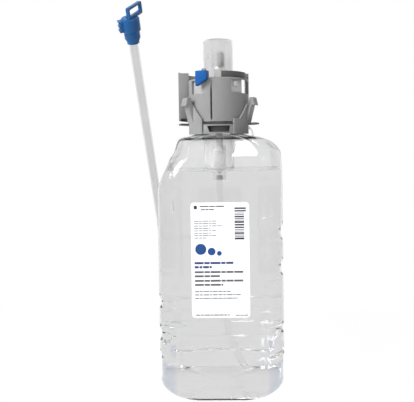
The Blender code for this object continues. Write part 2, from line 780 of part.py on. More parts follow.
def make_spring(finish):
    """The return spring, with a dead coil at each end."""
    low = SPRING_SEAT_Z + SPRING_WIRE_RADIUS + SEAT_GAP
    high = LIQUID_PISTON_Z - SPRING_WIRE_RADIUS - SEAT_GAP
    steps = round(SPRING_TURNS * SPRING_TURN_STEPS)
    end = SPRING_DEAD_TURNS / SPRING_TURNS
    points = []
    for i in range(steps + 1):
        share = i / steps
        turn = math.tau * SPRING_TURNS * share
        dead = min(share, end) / end + max(0.0, share - 1.0 + end) / end
        middle = min(1.0, max(0.0, (share - end) / (1.0 - 2.0 * end)))
        free = high - low - 2.0 * SPRING_PITCH_LEAST
        height = low + SPRING_PITCH_LEAST * dead + free * middle
        points.append(Vector((
            SPRING_RADIUS * math.cos(turn), SPRING_RADIUS * math.sin(turn), height
        )))
    return swept("return_spring", points, SPRING_WIRE_RADIUS, finish, 6)


def make_plunger(finishes, pivot):
    """The pieces that go up and down together: dome, stem, pistons and foam cartridge."""
    clear, white, grey = finishes
    hub_bore = CARTRIDGE_RADIUS + SEAT_GAP
    hub = hub_bore + 1.0 * MM
    cartridge_z = STEM_TOP_Z + SEAT_GAP + MESH_THICKNESS + SEAT_GAP
    cartridge_top = cartridge_z + CARTRIDGE_LENGTH
    mesh_top = cartridge_top + SEAT_GAP + MESH_THICKNESS
    roof = DOME_TOP_Z - DOME_WALL
    inner = DOME_RADIUS - DOME_WALL
    dome = turned(
        "pump_dome",
        [
            (0.0, DOME_TOP_Z),
            (DOME_RADIUS - DOME_EDGE, DOME_TOP_Z),
            (DOME_RADIUS - DOME_EDGE * 0.3, DOME_TOP_Z - DOME_EDGE * 0.3),
            (DOME_RADIUS, DOME_TOP_Z - DOME_EDGE),
            (DOME_RADIUS, DOME_SKIRT_Z),
            (inner, DOME_SKIRT_Z),
            (inner, roof),
            (hub, roof),
            (hub, STEM_TOP_Z - DOME_SOCKET_DEPTH),
            (STEM_RADIUS + SEAT_GAP, STEM_TOP_Z - DOME_SOCKET_DEPTH),
            (STEM_RADIUS + SEAT_GAP, STEM_TOP_Z + SEAT_GAP * 0.5),
            (hub_bore, STEM_TOP_Z + SEAT_GAP * 0.5),
            (hub_bore, mesh_top + 1.0 * MM),
            (0.0, mesh_top + 1.0 * MM),
        ],
        clear,
        28,
    )
    stem_low = LIQUID_PISTON_Z + STEM_FOOT
    ball_room = OUTLET_BALL_RADIUS + SLIDE_GAP
    ball_z = stem_low + STEM_SEAT_HEIGHT
    cage_top = ball_z + OUTLET_BALL_RADIUS + OUTLET_BALL_LIFT + SEAT_GAP
    stem = turned(
        "piston_stem",
        [
            (STEM_BORE_RADIUS, STEM_TOP_Z),
            (STEM_RADIUS, STEM_TOP_Z),
            (STEM_RADIUS, stem_low),
            (OUTLET_SEAT_RADIUS, stem_low),
            (OUTLET_SEAT_RADIUS, ball_z - OUTLET_BALL_RADIUS),
            (ball_room, ball_z),
            (ball_room, cage_top),
            (STEM_BORE_RADIUS, cage_top),
        ],
        white,
        20,
    )
    lip = LIQUID_CYLINDER_BORE - SLIDE_GAP
    sleeve = STEM_RADIUS + SEAT_GAP
    liquid = turned(
        "liquid_piston",
        [
            (OUTLET_SEAT_RADIUS, LIQUID_PISTON_Z),
            (lip - PISTON_LIP_REACH, LIQUID_PISTON_Z),
            (lip, LIQUID_PISTON_Z + PISTON_LIP),
            (lip - PISTON_LIP_REACH, LIQUID_PISTON_Z + PISTON_LIP * 2),
            (lip - PISTON_LIP_REACH, LIQUID_PISTON_TOP_Z - PISTON_LIP),
            (lip, LIQUID_PISTON_TOP_Z),
            (sleeve, LIQUID_PISTON_TOP_Z),
            (sleeve, stem_low - SEAT_GAP),
            (OUTLET_SEAT_RADIUS, stem_low - SEAT_GAP),
        ],
        white,
        20,
    )
    rim = AIR_BORE - SLIDE_GAP
    top = AIR_PISTON_Z + AIR_PISTON_HEIGHT
    air = turned(
        "air_piston",
        [
            (sleeve, AIR_PISTON_Z + 1.0 * MM),
            (sleeve + 1.4 * MM, AIR_PISTON_Z + 1.0 * MM),
            (rim - 1.2 * MM, AIR_PISTON_Z + 2.0 * MM),
            (rim, AIR_PISTON_Z),
            (rim, top),
            (rim - 1.0 * MM, top),
            (rim - 1.2 * MM, AIR_PISTON_Z + 3.2 * MM),
            (sleeve + 1.4 * MM, AIR_PISTON_Z + 2.4 * MM),
            (sleeve + 1.4 * MM, top + 3.0 * MM),
            (sleeve, top + 3.0 * MM),
        ],
        white,
        28,
    )
    cartridge = turned(
        "foam_cartridge",
        [
            (CARTRIDGE_RADIUS - CARTRIDGE_WALL, cartridge_z),
            (CARTRIDGE_RADIUS, cartridge_z),
            (CARTRIDGE_RADIUS, cartridge_top),
            (CARTRIDGE_RADIUS - CARTRIDGE_WALL, cartridge_top),
        ],
        grey,
        20,
    )
    meshes = []
    for name, low in (
        ("lower_mesh", STEM_TOP_Z + SEAT_GAP),
        ("upper_mesh", cartridge_top + SEAT_GAP),
    ):
        meshes.append(turned(
            name,
            [
                (0.0, low),
                (CARTRIDGE_RADIUS, low),
                (CARTRIDGE_RADIUS, low + MESH_THICKNESS),
                (0.0, low + MESH_THICKNESS),
            ],
            grey,
            20,
        ))
    for piece in (dome, stem, liquid, air, cartridge, *meshes):
        piece.parent = pivot
    ball = make_ball("outlet_ball", OUTLET_BALL_RADIUS, ball_z + BALL_SEAT_GAP, grey)
    ball.parent = pivot


def make_latch_ring(finish):
    """The ring under the plate that grips the neck's bead, with two feet and two sprung arms."""
    low, top = LATCH_BOTTOM_Z, LATCH_SKIRT_TOP_Z
    skirt = LATCH_SKIRT_RADIUS
    ring = turned(
        "latch_ring",
        [
            (skirt, low),
            (skirt + LATCH_SKIRT_WALL, low),
            (skirt + LATCH_SKIRT_WALL, top),
            (skirt, top),
        ],
        finish,
        48,
    )
    window = block(
        "latch_window_cutter",
        (-LATCH_WINDOW_HALF_WIDTH, -2 * skirt, low + 1.7 * MM),
        (LATCH_WINDOW_HALF_WIDTH, -0.5 * skirt, top - 1.2 * MM),
        finish,
    )
    boolean(ring, window, "DIFFERENCE")
    inner, outer = FOOT_RADIUS, FOOT_RADIUS + LATCH_FOOT_WALL
    for side, span in (("left", LEFT_FOOT_DEG), ("right", RIGHT_FOOT_DEG)):
        web = sector(
            f"latch_{side}_web", skirt + LATCH_SKIRT_WALL * 0.5, inner + 0.6 * MM,
            low + 0.5 * MM, low + 3.1 * MM, (span[0] + 1.5, span[1] - 1.5), finish, 6,
        )
        boolean(ring, web, "UNION")
        foot = sector(
            f"latch_{side}_foot", inner, outer, low - 0.6 * MM, LATCH_FOOT_TOP_Z, span, finish, 6,
        )
        boolean(ring, foot, "UNION")
        sign = -1.0 if side == "left" else 1.0
        outline = [
            (inner + 0.4 * MM, low + 3.0 * MM),
            (outer - 0.1 * MM, low + 3.0 * MM),
            (outer + LATCH_ARM_FLARE, LATCH_ARM_TOP_Z - 6.0 * MM),
            (outer + LATCH_ARM_FLARE + LATCH_HOOK, LATCH_ARM_TOP_Z - 6.5 * MM),
            (outer + LATCH_ARM_FLARE + LATCH_HOOK * 0.4, LATCH_ARM_TOP_Z),
            (outer + LATCH_ARM_FLARE - LATCH_FOOT_WALL, LATCH_ARM_TOP_Z),
            (inner + 0.4 * MM, LATCH_FOOT_TOP_Z + 3.0 * MM),
        ]
        turn = math.radians(LATCH_ARM_DEG * sign - 90.0)
        stand = Matrix.Rotation(turn, 4, "Z") @ Matrix.Rotation(math.radians(90.0), 4, "X")
        half = LATCH_ARM_WIDTH / 2
        arm = prism(f"latch_{side}_arm", outline, -half, half, finish, stand)
        boolean(ring, arm, "UNION")
        link = sector(
            f"latch_{side}_link", inner + 0.25 * MM, outer - 0.25 * MM,
            low + 2.4 * MM, LATCH_FOOT_TOP_Z - 1.0 * MM,
            sorted((sign * 50.0, sign * LATCH_ARM_DEG)), finish, 4,
        )
        boolean(ring, link, "UNION")
    return ring


def make_plate(finish):
    """The thin round plate above the ring, notched for the ring's feet and arms."""
    low, high = PLATE_Z, PLATE_Z + PLATE_THICKNESS
    hole = FLANGE_RADIUS + SEAT_GAP
    plate = turned(
        "flange_plate",
        [(hole, low), (PLATE_RADIUS, low), (PLATE_RADIUS, high), (hole, high)],
        finish,
        56,
    )
    arm_half = math.degrees((LATCH_ARM_WIDTH / 2 + SEAT_GAP) / FOOT_RADIUS)
    for side, span, sign in (("left", LEFT_FOOT_DEG, -1.0), ("right", RIGHT_FOOT_DEG, 1.0)):
        edges = [*span, sign * (LATCH_ARM_DEG + arm_half)]
        cut = sector(
            f"plate_{side}_cutter", FOOT_RADIUS - SEAT_GAP * 2, PLATE_RADIUS * 1.3,
            low - 1.0 * MM, high + 1.0 * MM, (min(edges) - 1.0, max(edges) + 1.0), finish, 10,
        )
        boolean(plate, cut, "DIFFERENCE")
    return plate


def make_collar(finish):
    """The grey cylinder round the pump, with its two windows, its slit and the key's tab."""
    inner = COLLAR_RADIUS - COLLAR_WALL
    edge = 0.5 * MM
    collar = turned(
        "collar",
        [
            (inner, COLLAR_BOTTOM_Z),
            (COLLAR_RADIUS - edge, COLLAR_BOTTOM_Z),
            (COLLAR_RADIUS, COLLAR_BOTTOM_Z + edge),
            (COLLAR_RADIUS, COLLAR_TOP_Z - edge),
            (COLLAR_RADIUS - edge, COLLAR_TOP_Z),
            (inner, COLLAR_TOP_Z),
        ],
        finish,
        56,
    )
    for side, span in (("left", LEFT_WINDOW_DEG), ("right", RIGHT_WINDOW_DEG)):
        cut = sector(
            f"collar_{side}_window_cutter", inner * 0.9, COLLAR_RADIUS * 1.2,
            WINDOW_BOTTOM_Z, WINDOW_TOP_Z, span, finish, 10,
        )
        boolean(collar, cut, "DIFFERENCE")
    slit = block(
        "collar_slit_cutter",
        (COLLAR_SLOT_X - COLLAR_SLOT_WIDTH / 2, -1.2 * COLLAR_RADIUS, COLLAR_BOTTOM_Z + 1.2 * MM),
        (COLLAR_SLOT_X + COLLAR_SLOT_WIDTH / 2, -0.6 * COLLAR_RADIUS, WINDOW_TOP_Z - 1.0 * MM),
        finish,
    )
    boolean(collar, slit, "DIFFERENCE")
    half = math.degrees(KEY_TAB_WIDTH / 2 / COLLAR_RADIUS)
    tab = sector(
        "collar_key_tab", inner + 0.2 * MM, COLLAR_RADIUS - 0.2 * MM, COLLAR_TOP_Z - 2.0 * MM,
        KEY_TOP_Z + KEY_TAB_RISE, (KEY_DEG - half, KEY_DEG + half), finish, 2,
    )
    boolean(collar, tab, "UNION")
    boolean(collar, spigot_hole("collar_spigot_cutter", inner * 0.8, finish), "DIFFERENCE")
    return collar


def spigot_hole(name, start_y, finish):
    """A cutter for the hole that lets the outlet spigot through a wall."""
    route = [Vector((0.0, start_y, SPIGOT_Z)), Vector((0.0, SPIGOT_END_Y, SPIGOT_Z))]
    return swept(name, route, SPIGOT_RADIUS + SEAT_GAP, finish, 16)


def make_chassis(finish):
    """The pump head's frame: sleeve, floor, guide tube, crown and the outlet spigot."""
    floor_low = COLLAR_BOTTOM_Z + SEAT_GAP
    floor_top = floor_low + CHASSIS_FLOOR
    sleeve = CHASSIS_RADIUS - CHASSIS_WALL
    guide = GUIDE_BORE + GUIDE_WALL
    chassis = turned(
        "pump_chassis",
        [
            (GUIDE_BORE, floor_low),
            (CHASSIS_RADIUS, floor_low),
            (CHASSIS_RADIUS, COLLAR_TOP_Z),
            (sleeve, COLLAR_TOP_Z),
            (sleeve, floor_top),
            (guide, floor_top),
            (guide, GUIDE_TOP_Z),
            (GUIDE_BORE, GUIDE_TOP_Z),
        ],
        finish,
        48,
    )
    crown = sector(
        "chassis_crown", sleeve - 0.4 * MM, CHASSIS_RADIUS - 0.3 * MM, CROWN_Z,
        CROWN_Z + CROWN_HEIGHT, CROWN_DEG, finish, 18,
    )
    boolean(chassis, crown, "UNION")
    for name, middle in zip(("front", "rear"), CROWN_DEG):
        post = sector(
            f"chassis_{name}_post", sleeve + 0.1 * MM, CHASSIS_RADIUS - 0.1 * MM,
            COLLAR_TOP_Z - 2.0 * MM, CROWN_Z + CROWN_HEIGHT + 0.8 * MM,
            (middle - POST_HALF_DEG, middle + POST_HALF_DEG), finish, 4,
        )
        boolean(chassis, post, "UNION")
    gap = block(
        "chassis_gap_cutter",
        (18.6 * MM, -CHASSIS_RADIUS, WINDOW_BOTTOM_Z + 0.4 * MM),
        (21.8 * MM, CHASSIS_RADIUS, WINDOW_TOP_Z - 0.4 * MM),
        finish,
    )
    boolean(chassis, gap, "DIFFERENCE")
    root = Vector((0.0, GUIDE_BORE + GUIDE_WALL * 0.3, SPIGOT_Z))
    end = Vector((0.0, SPIGOT_END_Y, SPIGOT_Z))
    pipe = swept("chassis_spigot", [root, end], SPIGOT_RADIUS, finish, 16)
    boolean(chassis, pipe, "UNION")
    inside, beyond = root - Vector((0.0, GUIDE_BORE * 0.3, 0.0)), end * 1.1 - root * 0.1
    bore = swept(
        "chassis_bore_cutter", [inside, beyond], SPIGOT_RADIUS - SPIGOT_WALL, finish, 12,
    )
    boolean(chassis, bore, "DIFFERENCE")
    return chassis


def make_shroud(finish):
    """The shell round the collar's back, with a floor that fits round the collar."""
    centre = (SHROUD_CENTRE_X, 0.0)
    span = (180.0 - SHROUD_HALF_DEG, 180.0 + SHROUD_HALF_DEG)
    inner = SHROUD_RADIUS - SHROUD_WALL
    shroud = sector(
        "collar_shroud", inner, SHROUD_RADIUS, SHROUD_BOTTOM_Z, SHROUD_TOP_Z, span, finish, 30, centre,
    )
    floor_low = max(SHROUD_BOTTOM_Z, LATCH_FOOT_TOP_Z + SEAT_GAP)
    floor = sector(
        "shroud_floor", inner * 0.55, inner + 0.6 * MM, floor_low, floor_low + 1.6 * MM,
        (span[0] + 14.0, span[1] - 14.0), finish, 24, centre,
    )
    hole = turned(
        "shroud_collar_cutter",
        [
            (0.0, floor_low - 2.0 * MM),
            (COLLAR_RADIUS + SEAT_GAP, floor_low - 2.0 * MM),
            (COLLAR_RADIUS + SEAT_GAP, floor_low + 4.0 * MM),
            (0.0, floor_low + 4.0 * MM),
        ],
        finish,
        56,
    )
    boolean(floor, hole, "DIFFERENCE")
    boolean(shroud, floor, "UNION")
    boolean(shroud, spigot_hole("shroud_spigot_cutter", inner * 0.8, finish), "DIFFERENCE")
    return shroud


def make_key(finish):
    """The blue key that sits over the collar's top edge, on the collar's tab."""
    half = math.degrees(KEY_WIDTH / 2 / COLLAR_RADIUS)
    span = (KEY_DEG - half, KEY_DEG + half)
    rest = COLLAR_TOP_Z + SEAT_GAP
    inner = COLLAR_RADIUS - COLLAR_WALL - SEAT_GAP
    outer = COLLAR_RADIUS + SEAT_GAP + KEY_DEPTH
    face = COLLAR_RADIUS + SEAT_GAP

    def section_at(share):
        low = rest - KEY_DROP + KEY_SLANT * share
        return (
            (inner, rest), (face, rest), (face, low),
            (outer, low), (outer, KEY_TOP_Z), (inner, KEY_TOP_Z),
        )

    key = curved_bar("lock_key", section_at, span, finish, 6)
    slot_half = math.degrees((KEY_TAB_WIDTH / 2 + SEAT_GAP) / COLLAR_RADIUS)
    slot = sector(
        "key_slot_cutter", inner - 1.0 * MM, COLLAR_RADIUS + SEAT_GAP * 0.5, rest - 1.0 * MM,
        KEY_TOP_Z + 1.0 * MM, (KEY_DEG - slot_half, KEY_DEG + slot_half), finish, 2,
    )
    boolean(key, slot, "DIFFERENCE")
    return key


def make_nozzle(finish, route):
    """The nozzle on the tube's end, with its pull loop and three grip fins."""
    way = (route[-1] - route[-2]).normalized()
    grip = NOZZLE_GRIP
    socket = TUBE_RADIUS + SEAT_GAP
    shoulder, top = NOZZLE_SOCKET_LENGTH, NOZZLE_SOCKET_LENGTH + NOZZLE_BODY_LENGTH
    nozzle = turned(
        "nozzle",
        [
            (socket, 0.0),
            (NOZZLE_SOCKET_RADIUS * 0.80, 0.0),
            (NOZZLE_SOCKET_RADIUS * 0.88, 2.2 * MM),
            (NOZZLE_SOCKET_RADIUS, 3.4 * MM),
            (NOZZLE_SOCKET_RADIUS, shoulder),
            (NOZZLE_BODY_RADIUS, shoulder + 1.4 * MM),
            (NOZZLE_BODY_RADIUS, top - 1.0 * MM),
            (NOZZLE_BODY_RADIUS - 1.0 * MM, top),
            (NOZZLE_OUTLET_RADIUS, top),
            (NOZZLE_OUTLET_RADIUS, grip + SEAT_GAP),
            (socket, grip + SEAT_GAP),
        ],
        finish,
        24,
    )
    half, bar = LOOP_WIDTH / 2, LOOP_BAR
    outline = rounded_outline(half, LOOP_HEIGHT / 2 + 1.0 * MM, 1.4 * MM, 3)
    upright = Matrix.Rotation(math.radians(90.0), 4, "X")
    middle = top + LOOP_HEIGHT / 2 - 1.0 * MM
    place = Matrix.Translation((LOOP_SHIFT, LOOP_THICKNESS / 2, middle)) @ upright
    loop = prism("nozzle_loop", outline, 0.0, LOOP_THICKNESS, finish, place)
    hole_outline = rounded_outline(half - bar, (LOOP_HEIGHT - 2 * bar) / 2, 0.8 * MM, 3)
    hole_place = Matrix.Translation((LOOP_SHIFT, LOOP_THICKNESS, top + LOOP_HEIGHT / 2)) @ upright
    hole = prism("nozzle_loop_cutter", hole_outline, 0.0, LOOP_THICKNESS * 2, finish, hole_place)
    boolean(nozzle, loop, "UNION")
    for i in range(FIN_COUNT):
        low = shoulder + 1.8 * MM + FIN_PITCH * i
        fin = block(
            f"nozzle_fin_{i + 1}",
            (-NOZZLE_BODY_RADIUS - FIN_REACH * 0.8, -FIN_WIDTH / 2, low),
            (-NOZZLE_BODY_RADIUS * 0.75, FIN_WIDTH / 2, low + FIN_THICKNESS),
            finish,
        )
        boolean(nozzle, fin, "UNION")
    boolean(nozzle, hole, "DIFFERENCE")
    right = Vector((1.0, 0.0, 0.0))
    right = (right - way * right.dot(way)).normalized()
    away = way.cross(right)
    turn = math.radians(NOZZLE_TURN_DEG)
    bar_way = right * math.cos(turn) + away * math.sin(turn)
    side = way.cross(bar_way)
    basis = Matrix((bar_way, side, way)).transposed().to_4x4()
    basis.translation = route[-1] - way * grip
    parts = [nozzle, *(m.object for m in nozzle.modifiers)]
    for piece in parts:
        piece.matrix_world = basis
    return nozzle


def build():
    clear_scene()
    clear_pet = material("clear_pet", (0.86, 0.88, 0.89), 0.06, transmission=0.9)
    liquid = material("soap", (0.90, 0.92, 0.93), 0.03, transmission=0.9)
    paper = material("label_white", (0.93, 0.94, 0.95), 0.45)
    natural = material("natural_plastic", (0.80, 0.80, 0.80), 0.25, transmission=0.5)
    white = material("white_plastic", (0.88, 0.88, 0.87), 0.35)
    grey = material("grey_plastic", (0.36, 0.36, 0.36), 0.42)
    light_grey = material("light_grey_plastic", (0.50, 0.50, 0.50), 0.42)
    dark_grey = material("dark_grey_plastic", (0.14, 0.14, 0.14), 0.45)
    blue = material("blue_plastic", (0.012, 0.10, 0.36), 0.32)
    steel = material("spring_steel", (0.62, 0.63, 0.65), 0.25, 1.0)
    rubber = material("gasket_rubber", (0.78, 0.78, 0.76), 0.6)

    route = tube_route()
    make_bottle(clear_pet, route)
    make_soap(liquid, route)
    make_label(paper)
    turned(
        "neck_gasket",
        [
            (AIR_CYLINDER_RADIUS + SEAT_GAP * 2, GASKET_Z),
            (FLANGE_RADIUS, GASKET_Z),
            (FLANGE_RADIUS, GASKET_Z + GASKET_THICKNESS),
            (AIR_CYLINDER_RADIUS + SEAT_GAP * 2, GASKET_Z + GASKET_THICKNESS),
        ],
        rubber,
        32,
    )
    make_housing(natural)
    make_ball("inlet_ball", BALL_RADIUS, BALL_Z + BALL_SEAT_GAP, steel)
    swept("dip_tube", dip_route(), DIP_RADIUS, natural, 10, DIP_BORE_RADIUS)
    make_spring(steel)
    pivot = bpy.data.objects.new("plunger_axis", None)
    bpy.context.scene.collection.objects.link(pivot)
    make_plunger((natural, white, light_grey), pivot)
    make_latch_ring(grey)
    make_plate(dark_grey)
    make_collar(grey)
    make_chassis(light_grey)
    make_shroud(grey)
    make_key(blue)
    swept("delivery_tube", route, TUBE_RADIUS, natural, TUBE_SIDES, TUBE_BORE_RADIUS)
    make_nozzle(blue, route)


build()
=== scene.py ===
"""Hand soap refill pack: a clear bottle of soap, its foam pump in a locking collar, and its tube.

Every visible piece is modelled here at its fine shape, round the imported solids, and dressed.
Lengths are in metres. The labelled front faces -Y and the delivery tube is on the -X side.
"""
import logging
import math
from dataclasses import dataclass
from enum import Enum
from typing import Callable, Iterable, Sequence

import bmesh
import bpy
import numpy as np
from mathutils import Matrix, Vector


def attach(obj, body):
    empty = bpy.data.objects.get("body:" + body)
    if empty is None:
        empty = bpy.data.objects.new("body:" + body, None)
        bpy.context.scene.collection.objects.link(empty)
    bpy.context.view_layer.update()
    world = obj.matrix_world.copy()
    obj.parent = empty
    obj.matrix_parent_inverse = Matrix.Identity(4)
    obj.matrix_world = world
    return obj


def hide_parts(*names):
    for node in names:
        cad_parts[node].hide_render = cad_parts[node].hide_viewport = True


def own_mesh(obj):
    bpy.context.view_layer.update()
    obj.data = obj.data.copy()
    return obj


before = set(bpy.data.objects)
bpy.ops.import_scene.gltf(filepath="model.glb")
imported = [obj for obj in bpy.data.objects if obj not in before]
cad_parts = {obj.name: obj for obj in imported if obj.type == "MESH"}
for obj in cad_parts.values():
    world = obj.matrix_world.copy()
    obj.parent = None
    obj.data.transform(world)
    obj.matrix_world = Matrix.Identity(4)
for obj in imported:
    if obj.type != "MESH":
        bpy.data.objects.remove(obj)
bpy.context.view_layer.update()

MM = 0.001
FIXED_BODY = "pack"
PLUNGER_BODY = "plunger"
IMAGE_WIDTH_PX = 414
IMAGE_HEIGHT_PX = 402

BOX_FACES = ((0, 1, 2, 3), (4, 5, 6, 7), (0, 1, 5, 4), (1, 2, 6, 5), (2, 3, 7, 6), (3, 0, 4, 7))

Profile = list[tuple[float, float]]
Colour = tuple[float, float, float]
log = logging.getLogger("soap_pack")


class Ends(Enum):
    """How a loft is closed."""

    LOOP = "last ring meets the first"
    FLAT = "a flat face on each end ring"
    TIPS = "a fan to a point at each end"


class Cut(Enum):
    """What a second solid does to the first."""

    FUSE = "UNION"
    CARVE = "DIFFERENCE"


class Slot(Enum):
    """The record's material slots."""

    CLEAR = "clear_pet"
    SOAP = "soap"
    LABEL = "label"
    NATURAL = "natural"
    WHITE = "white"
    GREY = "grey"
    LIGHT_GREY = "light_grey"
    DARK_GREY = "dark_grey"
    BLUE = "blue"
    STEEL = "steel"
    RUBBER = "rubber"


def circle(radius: float, height: float, segments: int = 96, centre: tuple = (0.0, 0.0)) -> np.ndarray:
    """Points of a level circle.

    Args:
        radius: The circle's radius.
        height: Its height.
        segments: How many points it has.
        centre: The X and Y of its centre.

    Returns:
        An array with one row per point.
    """
    turn = np.arange(segments) * (math.tau / segments)
    ring = np.empty((segments, 3))
    ring[:, 0] = centre[0] + radius * np.cos(turn)
    ring[:, 1] = centre[1] + radius * np.sin(turn)
    ring[:, 2] = height
    return ring


def loft(
    name: str, rings: Sequence[np.ndarray], ends: Ends, tips: Sequence = (), smooth_deg: float = 32.0
) -> bpy.types.Object:
    """Makes a closed solid of rings that all have the same number of points.

    Args:
        name: The new object's name.
        rings: The rings in order.
        ends: How the solid is closed.
        tips: The two end points, where ends is TIPS.
        smooth_deg: Edges sharper than this many degrees stay sharp.

    Returns:
        The new object.
    """
    count = len(rings[0])
    coords = [tuple(point) for ring in rings for point in ring]
    pairs = [(i, i + 1) for i in range(len(rings) - 1)]
    if ends is Ends.LOOP:
        pairs.append((len(rings) - 1, 0))
    faces = [
        (a * count + i, a * count + (i + 1) % count, b * count + (i + 1) % count, b * count + i)
        for a, b in pairs
        for i in range(count)
    ]
    last = (len(rings) - 1) * count
    if ends is Ends.FLAT:
        faces.append(tuple(reversed(range(count))))
        faces.append(tuple(range(last, last + count)))
    if ends is Ends.TIPS:
        for start, tip in zip((0, last), tips):
            coords.append(tuple(tip))
            at = len(coords) - 1
            faces += [(start + i, start + (i + 1) % count, at) for i in range(count)]
    mesh = bpy.data.meshes.new(name)
    mesh.from_pydata(coords, [], faces)
    return place_mesh(name, mesh, smooth_deg)


def place_mesh(name: str, mesh: bpy.types.Mesh, smooth_deg: float = 32.0) -> bpy.types.Object:
    """Puts a mesh into the scene with its faces pointing out and its round parts smooth.

    Args:
        name: The new object's name.
        mesh: The mesh.
        smooth_deg: Edges sharper than this many degrees stay sharp.

    Returns:
        The new object.
    """
    bm = bmesh.new()
    bm.from_mesh(mesh)
    bmesh.ops.recalc_face_normals(bm, faces=bm.faces)
    bm.to_mesh(mesh)
    bm.free()
    mesh.shade_smooth()
    mesh.set_sharp_from_angle(angle=math.radians(smooth_deg))
    made = bpy.data.objects.new(name, mesh)
    bpy.context.scene.collection.objects.link(made)
    return made


def rounded(outline: Profile, radius: float, steps: int = 3) -> Profile:
    """Rounds the corners of a closed outline, but not the points on its axis.

    Args:
        outline: The corners as pairs of numbers.
        radius: The rounding's size, less where an edge is too short for it.
        steps: How many points each rounding gets, less one.

    Returns:
        The rounded outline.
    """
    made: Profile = []
    for i, corner in enumerate(outline):
        here = Vector(corner)
        if corner[0] <= 0.0:
            made.append(tuple(here))
            continue
        before = Vector(outline[i - 1]) - here
        after = Vector(outline[(i + 1) % len(outline)]) - here
        trim = min(radius, before.length * 0.45, after.length * 0.45)
        start, end = here + before.normalized() * trim, here + after.normalized() * trim
        for k in range(steps + 1):
            t = k / steps
            made.append(tuple(start * (1 - t) ** 2 + here * (2 * t * (1 - t)) + end * t ** 2))
    return made


def lathe(
    name: str, profile: Profile, rounding: float = 0.0, segments: int = 96
) -> bpy.types.Object:
    """Turns a closed outline round the Z axis.

    Args:
        name: The new object's name.
        profile: Pairs of radius and height. Points on the axis have radius 0.
        rounding: The size of the corners' rounding.
        segments: How many steps a full turn has.

    Returns:
        The new object.
    """
    outline = rounded(profile, rounding) if rounding else list(profile)
    on_axis = [i for i, (radius, _) in enumerate(outline) if radius <= 0.0]
    if on_axis:
        start = on_axis[-1]
        turned = outline[start:] + outline[:start]
        turned = turned if turned[1][0] > 0.0 else turned[1:] + turned[:1]
        off_axis = [point for point in turned if point[0] > 0.0]
        ends = [point for point in turned if point[0] <= 0.0]
        tips = [(0.0, 0.0, ends[0][1]), (0.0, 0.0, ends[-1][1])]
        rings = [circle(radius, height, segments) for radius, height in off_axis]
        return loft(name, rings, Ends.TIPS, tips)
    rings = [circle(radius, height, segments) for radius, height in outline]
    return loft(name, rings, Ends.LOOP)


def curved_bar(
    name: str,
    section_at: Callable[[float], Profile],
    span: tuple[float, float],
    steps: int = 24,
    centre: tuple[float, float] = (0.0, 0.0),
) -> bpy.types.Object:
    """A bar round the axis between two angles, counted in degrees from the front towards +X.

    Args:
        name: The new object's name.
        section_at: Gives the (radius, height) corners at a share of the way round.
        span: The first and last angle.
        steps: How many steps it takes.
        centre: The X and Y of its axis.

    Returns:
        The new object.
    """
    rings = []
    for i in range(steps + 1):
        share = i / steps
        turn = math.radians(span[0] + (span[1] - span[0]) * share)
        rings.append(np.array([
            (centre[0] + r * math.sin(turn), centre[1] - r * math.cos(turn), z)
            for r, z in section_at(share)
        ]))
    return loft(name, rings, Ends.FLAT)


def sector(
    name: str,
    radii: tuple[float, float],
    heights: tuple[float, float],
    span: tuple[float, float],
    steps: int = 24,
    centre: tuple[float, float] = (0.0, 0.0),
    rounding: float = 0.0,
) -> bpy.types.Object:
    """A ring segment of square section.

    Args:
        name: The new object's name.
        radii: The inner and outer radius.
        heights: The lowest and highest level.
        span: The first and last angle, in degrees from the front towards +X.
        steps: How many steps it takes.
        centre: The X and Y of its axis.
        rounding: The size of the section's rounded corners.

    Returns:
        The new object.
    """
    (inner, outer), (low, high) = radii, heights
    corners = [(inner, low), (outer, low), (outer, high), (inner, high)]
    if rounding:
        corners = rounded(corners, rounding, 2)
    return curved_bar(name, lambda share: corners, span, steps, centre)


def extruded(
    name: str, outline: Profile, low: float, high: float, place: Matrix | None = None
) -> bpy.types.Object:
    """A flat outline pulled up from one level to another.

    Args:
        name: The new object's name.
        outline: Its corners in X and Y.
        low: The first level.
        high: The second level.
        place: A matrix that puts the result in its place.

    Returns:
        The new object.
    """
    rings = []
    for level in (low, high):
        points = [Vector((x, y, level)) for x, y in outline]
        rings.append(np.array([tuple(place @ p if place else p) for p in points]))
    return loft(name, rings, Ends.FLAT)


def block(name: str, low: Sequence[float], high: Sequence[float]) -> bpy.types.Object:
    """A plain block between two corners, used to cut and to build up other solids."""
    outline = [(low[0], low[1]), (high[0], low[1]), (high[0], high[1]), (low[0], high[1])]
    return extruded(name, outline, low[2], high[2])


def rounded_rectangle(half_x: float, half_y: float, radius: float, steps: int = 6) -> Profile:
    """The corners of a rectangle with round corners, centred on the origin.

    Args:
        half_x: Half its width.
        half_y: Half its height.
        radius: The corners' radius.
        steps: Steps in each corner.

    Returns:
        The outline.
    """
    points: Profile = []
    for k, (sx, sy) in enumerate(((1, 1), (-1, 1), (-1, -1), (1, -1))):
        for i in range(steps + 1):
            turn = math.radians(90.0 * k + 90.0 * i / steps)
            x = sx * (half_x - radius) + radius * math.cos(turn)
            y = sy * (half_y - radius) + radius * math.sin(turn)
            points.append((x, y))
    return points


